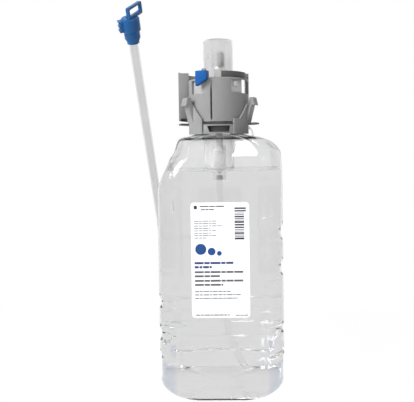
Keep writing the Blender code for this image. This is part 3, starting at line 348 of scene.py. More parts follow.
def pipe(
    name: str, route: Sequence[Vector], radius: float, bore: float = 0.0, sides: int = 32
) -> bpy.types.Object:
    """A round bar, or a pipe with a bore, along a route.

    Args:
        name: The new object's name.
        route: The centreline's points.
        radius: The outer radius.
        bore: The bore's radius, or 0 for a solid bar.
        sides: How many sides the section has.

    Returns:
        The new object.
    """
    last = len(route) - 1
    ways = [(route[min(i + 1, last)] - route[max(i - 1, 0)]).normalized() for i in range(last + 1)]
    across = ways[0].orthogonal().normalized()
    outer: list[np.ndarray] = []
    inner: list[np.ndarray] = []
    for point, way in zip(route, ways):
        across = (across - way * across.dot(way)).normalized()
        other = way.cross(across)
        turns = [math.tau * i / sides for i in range(sides)]
        spokes = [across * math.cos(t) + other * math.sin(t) for t in turns]
        outer.append(np.array([tuple(point + spoke * radius) for spoke in spokes]))
        inner.append(np.array([tuple(point + spoke * bore) for spoke in spokes]))
    if bore:
        return loft(name, outer + inner[::-1], Ends.LOOP)
    return loft(name, outer, Ends.TIPS, (route[0], route[-1]))


def combine(target: bpy.types.Object, steps: Iterable[tuple[Cut, bpy.types.Object]]) -> None:
    """Fuses and carves solids into a target, in order, and takes them out of the scene.

    Args:
        target: The object that stays.
        steps: What to do, and with which solid.
    """
    used = []
    for cut, other in steps:
        change = target.modifiers.new(other.name, "BOOLEAN")
        change.operation = cut.value
        change.solver = "EXACT"
        change.object = other
        used.append(other)
    settle(target)
    for other in used:
        bpy.data.objects.remove(other, do_unlink=True)


def settle(target: bpy.types.Object, smooth_deg: float = 32.0) -> None:
    """Turns an object's modifiers into its mesh.

    Args:
        target: The object.
        smooth_deg: Edges sharper than this many degrees stay sharp.
    """
    graph = bpy.context.evaluated_depsgraph_get()
    mesh = bpy.data.meshes.new_from_object(target.evaluated_get(graph))
    target.modifiers.clear()
    old, target.data = target.data, mesh
    mesh.name = target.name
    bpy.data.meshes.remove(old)
    mesh.shade_smooth()
    mesh.set_sharp_from_angle(angle=math.radians(smooth_deg))


def soften(target: bpy.types.Object, width: float, segments: int = 2) -> None:
    """Breaks an object's sharp edges, as a mould does.

    Args:
        target: The object.
        width: How wide the broken edge is.
        segments: How many faces it has across.
    """
    bevel = target.modifiers.new("edges", "BEVEL")
    bevel.width = width
    bevel.segments = segments
    bevel.limit_method = "ANGLE"
    bevel.angle_limit = math.radians(38.0)
    bevel.miter_outer = "MITER_ARC"
    settle(target)


def smoothstep(low: float, high: float, value: np.ndarray) -> np.ndarray:
    """A smooth climb from 0 at low to 1 at high."""
    share = np.clip((value - low) / (high - low), 0.0, 1.0)
    return share * share * (3.0 - 2.0 * share)


def smooth_curve(knots: Profile, at: np.ndarray) -> np.ndarray:
    """A smooth curve through knots that rises and falls only where they do.

    Args:
        knots: Pairs of place and height, in order.
        at: The places that are wanted.

    Returns:
        The heights there.
    """
    x = np.array([knot[0] for knot in knots])
    y = np.array([knot[1] for knot in knots])
    slope = np.diff(y) / np.diff(x)
    lean = np.zeros_like(y)
    for i in range(1, len(y) - 1):
        if slope[i - 1] * slope[i] > 0.0:
            lean[i] = 2.0 * slope[i - 1] * slope[i] / (slope[i - 1] + slope[i])
    lean[0], lean[-1] = slope[0], slope[-1]
    i = np.clip(np.searchsorted(x, at, side="right") - 1, 0, len(x) - 2)
    width = x[i + 1] - x[i]
    t = np.clip((at - x[i]) / width, 0.0, 1.0)
    rise = y[i] * (1 + 2 * t) * (1 - t) ** 2 + y[i + 1] * t ** 2 * (3 - 2 * t)
    return rise + width * (lean[i] * t * (1 - t) ** 2 - lean[i + 1] * t ** 2 * (1 - t))


def distance_to_run(points: np.ndarray, start: Sequence[float], end: Sequence[float]) -> np.ndarray:
    """How far points are from a straight run.

    Args:
        points: An array whose last axis is X, Y, Z.
        start: One end of the run.
        end: Its other end.

    Returns:
        The distances.
    """
    a, run = np.array(start), np.array(end) - np.array(start)
    share = np.clip((points - a) @ run / (run @ run), 0.0, 1.0)
    return np.linalg.norm(points - a - share[..., None] * run, axis=-1)


class Nodes:
    """Short hands for building a shader node tree."""

    def __init__(self, tree: bpy.types.NodeTree) -> None:
        """Starts on a tree."""
        self.tree = tree

    def add(self, kind: str, **settings: object) -> bpy.types.Node:
        """Adds a node and sets its plain properties.

        Args:
            kind: The node's type name.
            **settings: Property names and values.

        Returns:
            The new node.
        """
        node = self.tree.nodes.new(kind)
        for name, value in settings.items():
            setattr(node, name, value)
        return node

    def join(self, source: bpy.types.NodeSocket, target: bpy.types.NodeSocket) -> None:
        """Links one socket to another."""
        self.tree.links.new(source, target)

    def maths(self, operation: str, a: object, b: object = 0.0) -> bpy.types.NodeSocket:
        """A Math node of two inputs, each a number or a socket.

        Args:
            operation: The node's operation.
            a: The first input.
            b: The second input.

        Returns:
            The node's output.
        """
        node = self.add("ShaderNodeMath", operation=operation)
        for socket, value in zip(node.inputs, (a, b)):
            if isinstance(value, (int, float)):
                socket.default_value = value
            else:
                self.join(value, socket)
        return node.outputs[0]

    def mix(self, amount: object, a: object, b: object) -> bpy.types.NodeSocket:
        """Mixes two colours, each given as a colour or a socket.

        Args:
            amount: How much of the second one, a number or a socket.
            a: The first colour.
            b: The second colour.

        Returns:
            The mixed colour.
        """
        node = self.add("ShaderNodeMix", data_type="RGBA")
        for socket, value in zip((node.inputs[0], node.inputs[6], node.inputs[7]), (amount, a, b)):
            if isinstance(value, (int, float)):
                socket.default_value = value
            elif isinstance(value, tuple):
                socket.default_value = (*value, 1.0)
            else:
                self.join(value, socket)
        return node.outputs[2]


class EffectLibrary:
    """The shader groups that several finishes share."""

    def __init__(self) -> None:
        """Builds the groups once."""
        self.moulded = self._moulded_skin()
        self.foot = self._foot_mask()

    @staticmethod
    def _foot_mask() -> bpy.types.NodeTree:
        """A mask of the lower corners on both sides, where the clear finish takes a darker, bluer tint.

        Returns:
            The node group.
        """
        tree = bpy.data.node_groups.new("foot_mask", "ShaderNodeTree")
        for name, value in (("Top", 0.029), ("Half Width", 0.036), ("Fade", 0.004), ("Amount", 0.6)):
            made = tree.interface.new_socket(name, in_out="INPUT", socket_type="NodeSocketFloat")
            made.default_value = value
        tree.interface.new_socket("Mask", in_out="OUTPUT", socket_type="NodeSocketFloat")
        nodes = Nodes(tree)
        source, result = nodes.add("NodeGroupInput"), nodes.add("NodeGroupOutput")
        place, split = nodes.add("ShaderNodeTexCoord"), nodes.add("ShaderNodeSeparateXYZ")
        nodes.join(place.outputs["Object"], split.inputs[0])
        top, half, fade, amount = (source.outputs[name] for name in ("Top", "Half Width", "Fade", "Amount"))
        across = nodes.maths("SUBTRACT", nodes.maths("ABSOLUTE", split.outputs["X"]), half)
        under = nodes.maths("SUBTRACT", top, split.outputs["Z"])
        masks = []
        for inside in (across, under):
            share = nodes.add("ShaderNodeClamp")
            nodes.join(nodes.maths("ADD", nodes.maths("DIVIDE", inside, fade), 0.5), share.inputs["Value"])
            masks.append(share.outputs[0])
        both = nodes.maths("MULTIPLY", masks[0], masks[1])
        nodes.join(nodes.maths("MULTIPLY", both, amount), result.inputs["Mask"])
        return tree

    @staticmethod
    def _moulded_skin() -> bpy.types.NodeTree:
        """A moulded plastic surface: broad shade changes, small specks and a fine uneven skin.

        Returns:
            The node group.
        """
        tree = bpy.data.node_groups.new("moulded_skin", "ShaderNodeTree")
        for name, kind, value in (
            ("Colour", "NodeSocketColor", (0.5, 0.5, 0.5, 1.0)),
            ("Shade Spread", "NodeSocketFloat", 0.06),
            ("Roughness", "NodeSocketFloat", 0.4),
            ("Roughness Spread", "NodeSocketFloat", 0.08),
            ("Grain Size", "NodeSocketFloat", 900.0),
        ):
            made = tree.interface.new_socket(name, in_out="INPUT", socket_type=kind)
            made.default_value = value
        for name, kind in (
            ("Colour", "NodeSocketColor"), ("Roughness", "NodeSocketFloat"), ("Height", "NodeSocketFloat"),
        ):
            tree.interface.new_socket(name, in_out="OUTPUT", socket_type=kind)
        nodes = Nodes(tree)
        source = nodes.add("NodeGroupInput")
        result = nodes.add("NodeGroupOutput")
        place = nodes.add("ShaderNodeTexCoord")
        broad = nodes.add("ShaderNodeTexNoise")
        broad.inputs["Scale"].default_value = 38.0
        broad.inputs["Detail"].default_value = 3.0
        fine = nodes.add("ShaderNodeTexNoise")
        fine.inputs["Detail"].default_value = 2.0
        nodes.join(source.outputs["Grain Size"], fine.inputs["Scale"])
        for texture in (broad, fine):
            nodes.join(place.outputs["Object"], texture.inputs["Vector"])
        patch = nodes.maths("SUBTRACT", broad.outputs["Fac"], 0.5)
        speck = nodes.maths("SUBTRACT", fine.outputs["Fac"], 0.5)
        change = nodes.maths("ADD", patch, nodes.maths("MULTIPLY", speck, 0.5))
        gain = nodes.maths("MULTIPLY", change, nodes.maths("MULTIPLY", source.outputs["Shade Spread"], 4.0))
        shade = nodes.add("ShaderNodeHueSaturation")
        nodes.join(nodes.maths("ADD", gain, 1.0), shade.inputs["Value"])
        nodes.join(source.outputs["Colour"], shade.inputs["Color"])
        nodes.join(shade.outputs["Color"], result.inputs["Colour"])
        spread = nodes.maths("MULTIPLY", patch, source.outputs["Roughness Spread"])
        rough = nodes.maths("ADD", nodes.maths("MULTIPLY", spread, 2.0), source.outputs["Roughness"])
        nodes.join(rough, result.inputs["Roughness"])
        nodes.join(fine.outputs["Fac"], result.inputs["Height"])
        return tree

    def skin(
        self, nodes: Nodes, colour: object, shade: float, roughness: float, grain: float
    ) -> bpy.types.Node:
        """Places the moulded skin in a material.

        Args:
            nodes: The material's nodes.
            colour: The colour, or the socket that gives it.
            shade: How much its shade changes.
            roughness: The roughness.
            grain: The grain's size as a texture scale.

        Returns:
            The group node.
        """
        group = nodes.add("ShaderNodeGroup", node_tree=self.moulded)
        if isinstance(colour, tuple):
            group.inputs["Colour"].default_value = (*colour, 1.0)
        else:
            nodes.join(colour, group.inputs["Colour"])
        group.inputs["Shade Spread"].default_value = shade
        group.inputs["Roughness"].default_value = roughness
        group.inputs["Grain Size"].default_value = grain
        return group


def fresh_material(name: str) -> tuple[bpy.types.Material, Nodes, bpy.types.Node]:
    """Makes a material with a Principled shader.

    Args:
        name: The material's name.

    Returns:
        The material, its nodes and its Principled shader.
    """
    made = bpy.data.materials.new(name)
    made.use_nodes = True
    return made, Nodes(made.node_tree), made.node_tree.nodes["Principled BSDF"]


@dataclass(frozen=True)
class MouldedPlastic:
    """Opaque moulded plastic with a satin or gloss skin."""

    name: str
    colour: Colour
    roughness: float
    shade: float = 0.05
    grain: float = 900.0
    bump: float = 0.06
    coat: float = 0.0
    gloss: float = 0.5

    def build(self, effects: EffectLibrary) -> bpy.types.Material:
        """Makes the material.

        Args:
            effects: The shared shader groups.

        Returns:
            The material.
        """
        made, nodes, shader = fresh_material(self.name)
        skin = effects.skin(nodes, self.colour, self.shade, self.roughness, self.grain)
        nodes.join(skin.outputs["Colour"], shader.inputs["Base Color"])
        nodes.join(skin.outputs["Roughness"], shader.inputs["Roughness"])
        bump = nodes.add("ShaderNodeBump")
        bump.inputs["Strength"].default_value = self.bump
        bump.inputs["Distance"].default_value = 0.1 * MM
        nodes.join(skin.outputs["Height"], bump.inputs["Height"])
        nodes.join(bump.outputs["Normal"], shader.inputs["Normal"])
        shader.inputs["Coat Weight"].default_value = self.coat
        shader.inputs["Specular IOR Level"].default_value = self.gloss
        made.diffuse_color = (*self.colour, 1.0)
        return made


@dataclass(frozen=True)
class ClearPlastic:
    """A clear or milky plastic or liquid that darkens where it is seen edge on: partly the longer path
    through the wall, partly painted edge shade for the dark edges that refraction shows.

    With lost_after, light that has passed more clear walls than that goes straight through it.
    """

    name: str
    face: Colour
    edge: Colour
    roughness: float
    ior: float
    transmission: float
    edge_blend: float = 0.4
    edge_power: float = 1.0
    shade: float = 0.0
    shadow: float = 0.15
    low_corner_tint: Colour | None = None
    lost_after: float | None = None

    def build(self, effects: EffectLibrary) -> bpy.types.Material:
        """Makes the material.

        Args:
            effects: The shared shader groups.

        Returns:
            The material.
        """
        made, nodes, shader = fresh_material(self.name)
        # The edge-on tint: partly the wall's longer path, partly painted edge shade.
        weight = nodes.add("ShaderNodeLayerWeight")
        weight.inputs["Blend"].default_value = self.edge_blend
        share = nodes.maths("POWER", weight.outputs["Facing"], self.edge_power)
        tint = nodes.mix(share, self.face, self.edge)
        if self.low_corner_tint:
            foot = nodes.add("ShaderNodeGroup", node_tree=effects.foot)
            tint = nodes.mix(foot.outputs["Mask"], tint, self.low_corner_tint)
        skin = effects.skin(nodes, tint, self.shade, self.roughness, 260.0)
        skin.inputs["Roughness Spread"].default_value = self.roughness * 0.5
        nodes.join(skin.outputs["Colour"], shader.inputs["Base Color"])
        nodes.join(skin.outputs["Roughness"], shader.inputs["Roughness"])
        shader.inputs["IOR"].default_value = self.ior
        shader.inputs["Transmission Weight"].default_value = self.transmission
        path = nodes.add("ShaderNodeLightPath")
        through = nodes.add("ShaderNodeBsdfTransparent")
        pale = 1.0 - self.shadow
        through.inputs["Color"].default_value = (pale, pale, pale, 1.0)
        either = nodes.add("ShaderNodeMixShader")
        passed = path.outputs["Is Shadow Ray"]
        if self.lost_after:
            deep = nodes.maths("GREATER_THAN", path.outputs["Transmission Depth"], self.lost_after)
            passed = nodes.maths("MAXIMUM", passed, deep)
        nodes.join(passed, either.inputs[0])
        nodes.join(shader.outputs[0], either.inputs[1])
        nodes.join(through.outputs[0], either.inputs[2])
        nodes.join(either.outputs[0], made.node_tree.nodes["Material Output"].inputs["Surface"])
        made.diffuse_color = (*self.face, 1.0)
        return made


@dataclass(frozen=True)
class BrightSteel:
    """Drawn stainless wire and polished balls."""

    name: str = "stainless_steel"
    colour: Colour = (0.62, 0.63, 0.65)
    roughness: float = 0.24

    def build(self, effects: EffectLibrary) -> bpy.types.Material:
        """Makes the material.

        Args:
            effects: The shared shader groups.

        Returns:
            The material.
        """
        made, nodes, shader = fresh_material(self.name)
        skin = effects.skin(nodes, self.colour, 0.05, self.roughness, 1400.0)
        nodes.join(skin.outputs["Colour"], shader.inputs["Base Color"])
        nodes.join(skin.outputs["Roughness"], shader.inputs["Roughness"])
        shader.inputs["Metallic"].default_value = 1.0
        made.diffuse_color = (*self.colour, 1.0)
        return made


class Palette:
    """Every finish of the pack, built once and asked for by name."""

    FINISHES = (
        ClearPlastic("clear_pet", (0.87, 0.87, 0.875), (0.60, 0.61, 0.62), 0.012, 1.42, 1.0, 0.40, 2.2,
                     shadow=0.03, low_corner_tint=(0.66, 0.71, 0.80)),
        ClearPlastic("clear_soap", (0.915, 0.915, 0.91), (0.74, 0.74, 0.74), 0.0, 1.32, 1.0, 0.5, 2.0,
                     shadow=0.02),
        ClearPlastic("sunk_tube", (0.985, 0.985, 0.985), (0.93, 0.93, 0.93), 0.0, 1.02, 1.0, 0.5, 2.0,
                     shadow=0.01),
        ClearPlastic("milky_dome", (0.80, 0.80, 0.80), (0.68, 0.68, 0.685), 0.30, 1.07, 0.95, 0.4, 1.5,
                     0.02, 0.06),
        ClearPlastic("milky_tube", (0.79, 0.79, 0.79), (0.68, 0.68, 0.685), 0.35, 1.04, 1.0, 0.4, 1.3,
                     0.02, 0.01, lost_after=3.5),
        ClearPlastic("milky_housing", (0.96, 0.96, 0.96), (0.78, 0.78, 0.78), 0.08, 1.12, 0.90, 0.4, 1.6,
                     0.01, 0.02),
        MouldedPlastic("grey_collar", (0.245, 0.245, 0.245), 0.46, gloss=0.25),
        MouldedPlastic("light_grey_frame", (0.36, 0.36, 0.36), 0.46, gloss=0.25),
        # painted_light_panel: a lighter copy of the frame's grey, painted light for the panel in the shaded
        # right window
        MouldedPlastic("painted_light_panel", (0.62, 0.62, 0.62), 0.5, gloss=0.25),
        # painted_shade_grey: painted shade, a near-black grey for the crown bar and the sheet in the latch
        # ring's opening
        MouldedPlastic("painted_shade_grey", (0.09, 0.09, 0.09), 0.5, gloss=0.25),
        MouldedPlastic("dark_grey_plate", (0.06, 0.06, 0.06), 0.5, gloss=0.25),
        MouldedPlastic("blue_gloss", (0.003, 0.074, 0.225), 0.34, 0.06, 700.0, 0.05, 0.0, 0.3),
        MouldedPlastic("blue_key", (0.003, 0.078, 0.280), 0.34, 0.06, 700.0, 0.05, 0.0, 0.3),
        MouldedPlastic("white_plastic", (0.80, 0.80, 0.79), 0.36),
        MouldedPlastic("label_film", (0.89, 0.90, 0.915), 0.42, 0.012, 500.0, 0.02, 0.1),
        MouldedPlastic("ink_black", (0.02, 0.02, 0.022), 0.5, 0.05, 1500.0, 0.0),
        MouldedPlastic("ink_grey", (0.10, 0.10, 0.11), 0.5, 0.10, 1500.0, 0.0),
        MouldedPlastic("ink_pale", (0.22, 0.23, 0.25), 0.5, 0.10, 1500.0, 0.0),
        MouldedPlastic("ink_navy", (0.028, 0.045, 0.16), 0.5, 0.08, 1500.0, 0.0),
        MouldedPlastic("ink_blue", (0.006, 0.055, 0.22), 0.5, 0.06, 1500.0, 0.0),
        MouldedPlastic("gasket_foam", (0.62, 0.62, 0.60), 0.7, 0.08, 400.0, 0.3),
        BrightSteel(),
    )

    def __init__(self) -> None:
        """Makes every material."""
        effects = EffectLibrary()
        self.made = {finish.name: finish.build(effects) for finish in self.FINISHES}

    def dress(self, piece: bpy.types.Object, name: str) -> None:
        """Gives an object one of the finishes, and nothing else."""
        piece.data.materials.clear()
        piece.data.materials.append(self.made[name])


class Assembly:
    """What every sub-assembly shares: handing its pieces over to the frame."""

    def __init__(self, palette: Palette) -> None:
        """What every sub-assembly shares: dressing its pieces and putting them on their bodies."""
        self.palette = palette

    def hand_over(
        self,
        piece: bpy.types.Object,
        finish: str,
        slot: Slot,
        node: str | None = None,
        body: str = FIXED_BODY,
    ) -> bpy.types.Object:
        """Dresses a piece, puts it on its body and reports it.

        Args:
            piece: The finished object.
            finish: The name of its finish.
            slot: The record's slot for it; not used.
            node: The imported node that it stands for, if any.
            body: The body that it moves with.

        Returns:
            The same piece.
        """
        self.palette.dress(piece, finish)
        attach(piece, body)
        if node:
            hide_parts(node)
        log.info("%s: %d faces in %s", piece.name, len(piece.data.polygons), finish)
        return piece


@dataclass(frozen=True)
class TubeRoute:
    """The delivery tube's centreline, from the pump's spigot to the nozzle."""

    radius: float = 3.2 * MM
    bore: float = 2.2 * MM
    start_y: float = 31.16 * MM
    spigot_end_y: float = 36.16 * MM
    spigot_z: float = 228.0 * MM
    corner_bend: float = 26.0 * MM
    top_bend: float = 21.0 * MM
    flank_bend: float = 40.0 * MM
    flank_x: float = -49.6 * MM
    low_z: float = 115.0 * MM
    lean_deg: float = 60.0
    splay_deg: float = 3.4
    straight: float = 160.8 * MM
    spacing: float = 1.2 * MM

    @staticmethod
    def arc(centre: Vector, start: Sequence, end: Sequence, radius: float, steps: int) -> list[Vector]:
        """Points on a quarter or shorter arc.

        Args:
            centre: The arc's centre.
            start: The direction of its first point.
            end: The direction of its last point.
            radius: Its radius.
            steps: How many steps it takes.

        Returns:
            The points.
        """
        first, last = Vector(start).normalized(), Vector(end).normalized()
        sweep = first.angle(last)
        side = (last - first * first.dot(last)).normalized()
        turns = [sweep * i / steps for i in range(steps + 1)]
        return [centre + (first * math.cos(t) + side * math.sin(t)) * radius for t in turns]

    def points(self, steps: int = 12) -> list[Vector]:
        """The centreline's points.

        Args:
            steps: How many steps each bend takes.

        Returns:
            The points, from the pump to the nozzle.
        """
        back = self.spigot_end_y + self.radius - self.bore + self.top_bend
        top_z = self.spigot_z - self.top_bend
        made = [Vector((0.0, self.start_y, self.spigot_z)), Vector((0.0, self.spigot_end_y, self.spigot_z))]
        centre = Vector((0.0, back - self.top_bend, top_z))
        made += self.arc(centre, (0, 0, 1), (0, 1, 0), self.top_bend, steps)
        corner_x = self.flank_x + self.corner_bend
        turn_z = self.low_z - corner_x
        made += [Vector((0.0, back, top_z + (turn_z - top_z) * i / steps)) for i in range(1, steps)]
        made += self.arc(Vector((corner_x, back, turn_z)), (1, 0, 0), (0, 0, -1), -corner_x, steps)
        corner = Vector((corner_x, back - self.corner_bend, self.low_z))
        made += self.arc(corner, (0, 1, 0), (-1, 0, 0), self.corner_bend, steps)
        lean = math.radians(self.lean_deg)
        ahead = (0.0, -math.sin(lean), -math.cos(lean))
        flank = Vector((self.flank_x, corner.y, self.low_z + self.flank_bend))
        made += self.arc(flank, (0, 0, -1), ahead, self.flank_bend, steps)
        foot, way = made[-1], self.way()
        made += [foot + way * (self.straight * i / steps) for i in range(1, steps + 1)]
        kept = [made[0]]
        for point in made[1:]:
            if (point - kept[-1]).length > self.spacing:
                kept.append(point)
        return kept

    def way(self) -> Vector:
        """The direction of the straight limb, upwards.

        Returns:
            A vector of length 1.
        """
        lean = math.radians(self.lean_deg)
        splay = math.sin(math.radians(self.splay_deg))
        return Vector((-splay, -math.cos(lean), math.sin(lean))).normalized()


@dataclass(frozen=True)
class PressMark:
    """A small pressed line in the bottle's front: a run in X and Z, its width and its depth, in mm."""

    start: tuple[float, float]
    end: tuple[float, float]
    width: float
    depth: float


@dataclass
class BottleBody(Assembly):
    """The clear bottle and the soap in it."""

    palette: Palette
    route: TubeRoute
    half_width: float = 48.8 * MM
    half_depth: float = 48.5 * MM
    corner: float = 17.0 * MM
    wall: float = 1.0 * MM
    shoulder_z: float = 164.0 * MM
    neck_base_z: float = 205.6 * MM
    neck_top_z: float = 212.0 * MM
    neck_radius: float = 20.0 * MM
    neck_wall: float = 2.0 * MM
    bead: float = 1.1 * MM
    bead_z: float = 208.2 * MM
    base_rise: float = 16.0 * MM
    base_side_inset: float = 20.0 * MM
    base_front_inset: float = 5.0 * MM
    base_recess: float = 1.3 * MM
    notch_ramp: float = 3.4 * MM
    crease_depth: float = 0.95 * MM
    crease_width: float = 1.5 * MM
    crease_arch: float = 0.8 * MM
    crease_spread: float = 22.0 * MM
    side_turn: tuple = (0.12, 0.55)
    notch_blend: float = 0.3 * MM
    dent_flat: float = 6.2 * MM
    dent_reach: float = 15.5 * MM
    dent_play: float = 0.8 * MM
    dent_fade_y: tuple = (36.0 * MM, 46.0 * MM)
    soap_level: float = 177.5 * MM
    pump_room: tuple = (13.1 * MM, 176.6 * MM, 6.6 * MM, 168.2 * MM)
    columns: int = 300
    row_step: float = 1.0 * MM
    right_notches: tuple = (
        (12.0, 32.4, 0.9), (33.8, 38.6, 1.4), (49.6, 57.0, 1.7), (94.6, 107.4, 1.7), (122.4, 135.0, 1.7),
    )
    left_notches: tuple = ((12.0, 36.0, 1.1), (44.0, 55.0, 1.7), (69.5, 79.5, 1.6))
    front_creases: tuple = (41.0 * MM, 51.4 * MM, 62.7 * MM)
    panel_half: float = 33.0 * MM
    panel_spring_z: float = 183.0 * MM
    panel_arch: float = 22.5 * MM
    panel_rise: float = 1.3 * MM
    panel_edge: tuple = (0.98, 1.04)
    panel_high_z: tuple = (170.0 * MM, 186.0 * MM)
    panel_low_z: tuple = (54.0 * MM, 64.0 * MM)
    panel_low_share: float = 0.4
    base_rings: tuple = ((0.33, 0.0), (0.36, 0.5), (0.40, 1.0), (0.74, 1.0), (0.79, 0.6), (0.84, 0.0))
    lug_y: float = -9.0 * MM
    lug_out: float = 7.4 * MM
    lug_width: float = 4.2 * MM
    lug_height: float = 8.6 * MM
    lug_bar: float = 0.8 * MM
    left_shoulder: tuple = (
        (0.0, 1.0), (0.21, 0.915), (0.35, 0.83), (0.52, 0.685), (0.63, 0.575),
        (0.70, 0.53), (0.85, 0.48), (0.92, 0.43), (0.97, 0.22), (1.0, 0.0),
    )
    right_shoulder: tuple = (
        (0.0, 1.0), (0.50, 0.99), (0.64, 0.975), (0.74, 0.90),
        (0.85, 0.74), (0.92, 0.52), (0.97, 0.27), (1.0, 0.0),
    )
    front_shoulder: tuple = (
        (0.0, 1.0), (0.42, 0.985), (0.62, 0.91), (0.80, 0.70), (0.90, 0.47), (0.96, 0.24), (1.0, 0.0),
    )
    marks: tuple = (
        PressMark((-40.6, 162.9), (-36.6, 173.7), 1.5, 0.55),
        PressMark((-40.5, 157.5), (-40.6, 155.6), 1.3, 0.8),
        PressMark((-36.1, 159.1), (-35.2, 144.5), 1.5, 0.8),
        PressMark((-41.4, 150.6), (-39.4, 143.0), 1.2, 0.5),
        PressMark((-43.5, 147.6), (-42.8, 136.0), 1.2, 0.5),
        PressMark((-11.2, 177.0), (-8.3, 164.1), 1.3, 0.4),
        PressMark((-43.1, 102.6), (-36.2, 102.8), 1.8, 0.6),
        PressMark((-41.9, 77.3), (-35.8, 77.3), 1.8, 0.6),
        PressMark((-40.6, 63.1), (-36.8, 63.1), 1.3, 0.4),
        PressMark((-45.3, 58.4), (-36.1, 58.4), 2.4, 1.0),
        PressMark((-46.2, 43.9), (-37.0, 50.8), 1.6, 1.2),
        PressMark((-45.4, 52.3), (-37.0, 50.8), 1.4, 0.7),
        PressMark((-46.2, 43.9), (-42.4, 40.8), 1.4, 0.7),
        PressMark((35.3, 57.0), (45.3, 58.5), 1.9, 0.9),
        PressMark((38.3, 49.3), (45.2, 54.6), 1.6, 0.9),
        PressMark((-41.1, 129.9), (-31.9, 127.2), 1.2, 0.35),
        PressMark((-43.6, 116.5), (-37.4, 116.5), 1.2, 0.35),
        PressMark((36.7, 151.4), (38.0, 141.4), 1.6, 0.4),
        PressMark((35.3, 119.1), (41.5, 119.1), 1.6, 0.5),
        PressMark((35.0, 91.5), (42.7, 93.0), 1.4, 0.4),
    )

    def turns(self) -> np.ndarray:
        """The angles of the ring's points, evenly spaced along the body's outline.

        Returns:
            The angles, in radians.
        """
        dense = np.array(rounded_rectangle(self.half_width, self.half_depth, self.corner, 60))
        closed = np.vstack([dense, dense[:1]])
        steps = np.linalg.norm(np.diff(closed, axis=0), axis=1)
        along = np.concatenate([[0.0], np.cumsum(steps)])
        wanted = np.linspace(0.0, along[-1], self.columns, endpoint=False)
        x = np.interp(wanted, along, closed[:, 0])
        y = np.interp(wanted, along, closed[:, 1])
        return np.arctan2(y, x)

    def section(self, z: np.ndarray) -> tuple[np.ndarray, np.ndarray, np.ndarray, np.ndarray]:
        """The body's half-widths and corner radius at each height.

        Args:
            z: The heights.

        Returns:
            The reach to the left, right and front, and the corner radius.
        """
        share = np.clip(1.0 - z / self.base_rise, 0.0, 1.0)
        tuck = 1.0 - np.sqrt(1.0 - share * share)
        side, face = self.base_side_inset * tuck, self.base_front_inset * tuck
        climb = np.clip((z - self.shoulder_z) / (self.neck_base_z - self.shoulder_z), 0.0, 1.0)
        wide, deep = self.half_width - self.neck_radius, self.half_depth - self.neck_radius
        left = self.neck_radius + wide * smooth_curve(self.left_shoulder, climb) - side
        right = self.neck_radius + wide * smooth_curve(self.right_shoulder, climb) - side
        front = self.neck_radius + deep * smooth_curve(self.front_shoulder, climb) - face
        corner = self.corner + (self.neck_radius - self.corner) * climb
        return left, right, front, corner

    def surface(self, z: np.ndarray, inset: float) -> np.ndarray:
        """The wall's points at each height and angle, moved in by an inset.

        Args:
            z: The heights.
            inset: How far inside the outer wall.

        Returns:
            An array of heights by angles by X, Y, Z.
        """
        turn = self.turns()[None, :]
        cos, sin = np.cos(turn), np.sin(turn)
        left, right, deep, corner = (value[:, None] for value in self.section(z))
        wide = np.where(cos >= 0.0, right, left)
        x, y = np.abs(cos), np.abs(sin)
        core_x, core_y = wide - corner, deep - corner
        tiny = 1e-9
        side = wide * y / np.maximum(x, tiny) <= core_y
        front = (deep * x / np.maximum(y, tiny) <= core_x) & ~side
        toward = x * core_x + y * core_y
        inner = np.maximum(0.0, toward ** 2 - core_x ** 2 - core_y ** 2 + corner ** 2)
        reach = toward + np.sqrt(inner)
        reach = np.where(side, wide / np.maximum(x, tiny), reach)
        reach = np.where(front, deep / np.maximum(y, tiny), reach)
        out_x = np.where(side, 1.0, np.where(front, 0.0, (reach * x - core_x) / corner))
        out_y = np.where(side, 0.0, np.where(front, 1.0, (reach * y - core_y) / corner))
        length = np.hypot(out_x, out_y)
        out_x, out_y = np.sign(cos) * out_x / length, np.sign(sin) * out_y / length
        points = np.stack([reach * cos, reach * sin, np.broadcast_to(z[:, None], reach.shape)], axis=-1)
        depth = inset + self.relief(points, out_x)
        points[..., 0] -= out_x * depth
        points[..., 1] -= out_y * depth
        return points

    def relief(self, points: np.ndarray, out_x: np.ndarray) -> np.ndarray:
        """How deep the notches, creases, recess and marks go at each point.

        Args:
            points: The plain wall's points.
            out_x: The X part of the wall's outward direction.

        Returns:
            The depths.
        """
        z = points[..., 2]
        side = smoothstep(*self.side_turn, np.abs(out_x))
        depth = np.zeros_like(z)
        for sign, bands in ((-1.0, self.left_notches), (1.0, self.right_notches)):
            here = out_x * sign >= 0.0
            for low, high, deep in bands:
                rise = smoothstep(low * MM - self.notch_blend, low * MM + self.notch_ramp, z)
                fall = 1.0 - smoothstep(high * MM - self.notch_ramp, high * MM + self.notch_blend, z)
                depth = np.maximum(depth, np.where(here, side * deep * MM * rise * fall, 0.0))
        for crease in self.front_creases:
            arch = crease + self.crease_arch * np.cos(points[..., 0] / self.crease_spread)
            near = np.clip(1.0 - np.abs(z - arch) / self.crease_width, 0.0, 1.0)
            depth = np.maximum(depth, (1.0 - side) * self.crease_depth * near * near * (3.0 - 2.0 * near))
        over = np.maximum(0.0, z - self.panel_spring_z) / self.panel_arch
        edge = np.hypot(points[..., 0] / self.panel_half, over)
        low_part = self.panel_low_share * (1.0 - smoothstep(*self.panel_low_z, z))
        shown = np.where(points[..., 1] < 0.0, smoothstep(*self.panel_high_z, z) + low_part, 0.0)
        depth += (1.0 - side) * self.panel_rise * smoothstep(*self.panel_edge, edge) * shown
        route = [tuple(point) for point in self.route.points(6)]
        away = np.full(z.shape, math.inf)
        for start, end in zip(route, route[1:]):
            away = np.minimum(away, distance_to_run(points, start, end))
        dent = self.half_width + self.route.flank_x + self.route.radius + self.dent_play
        beside = 1.0 - smoothstep(*self.dent_fade_y, points[..., 1])
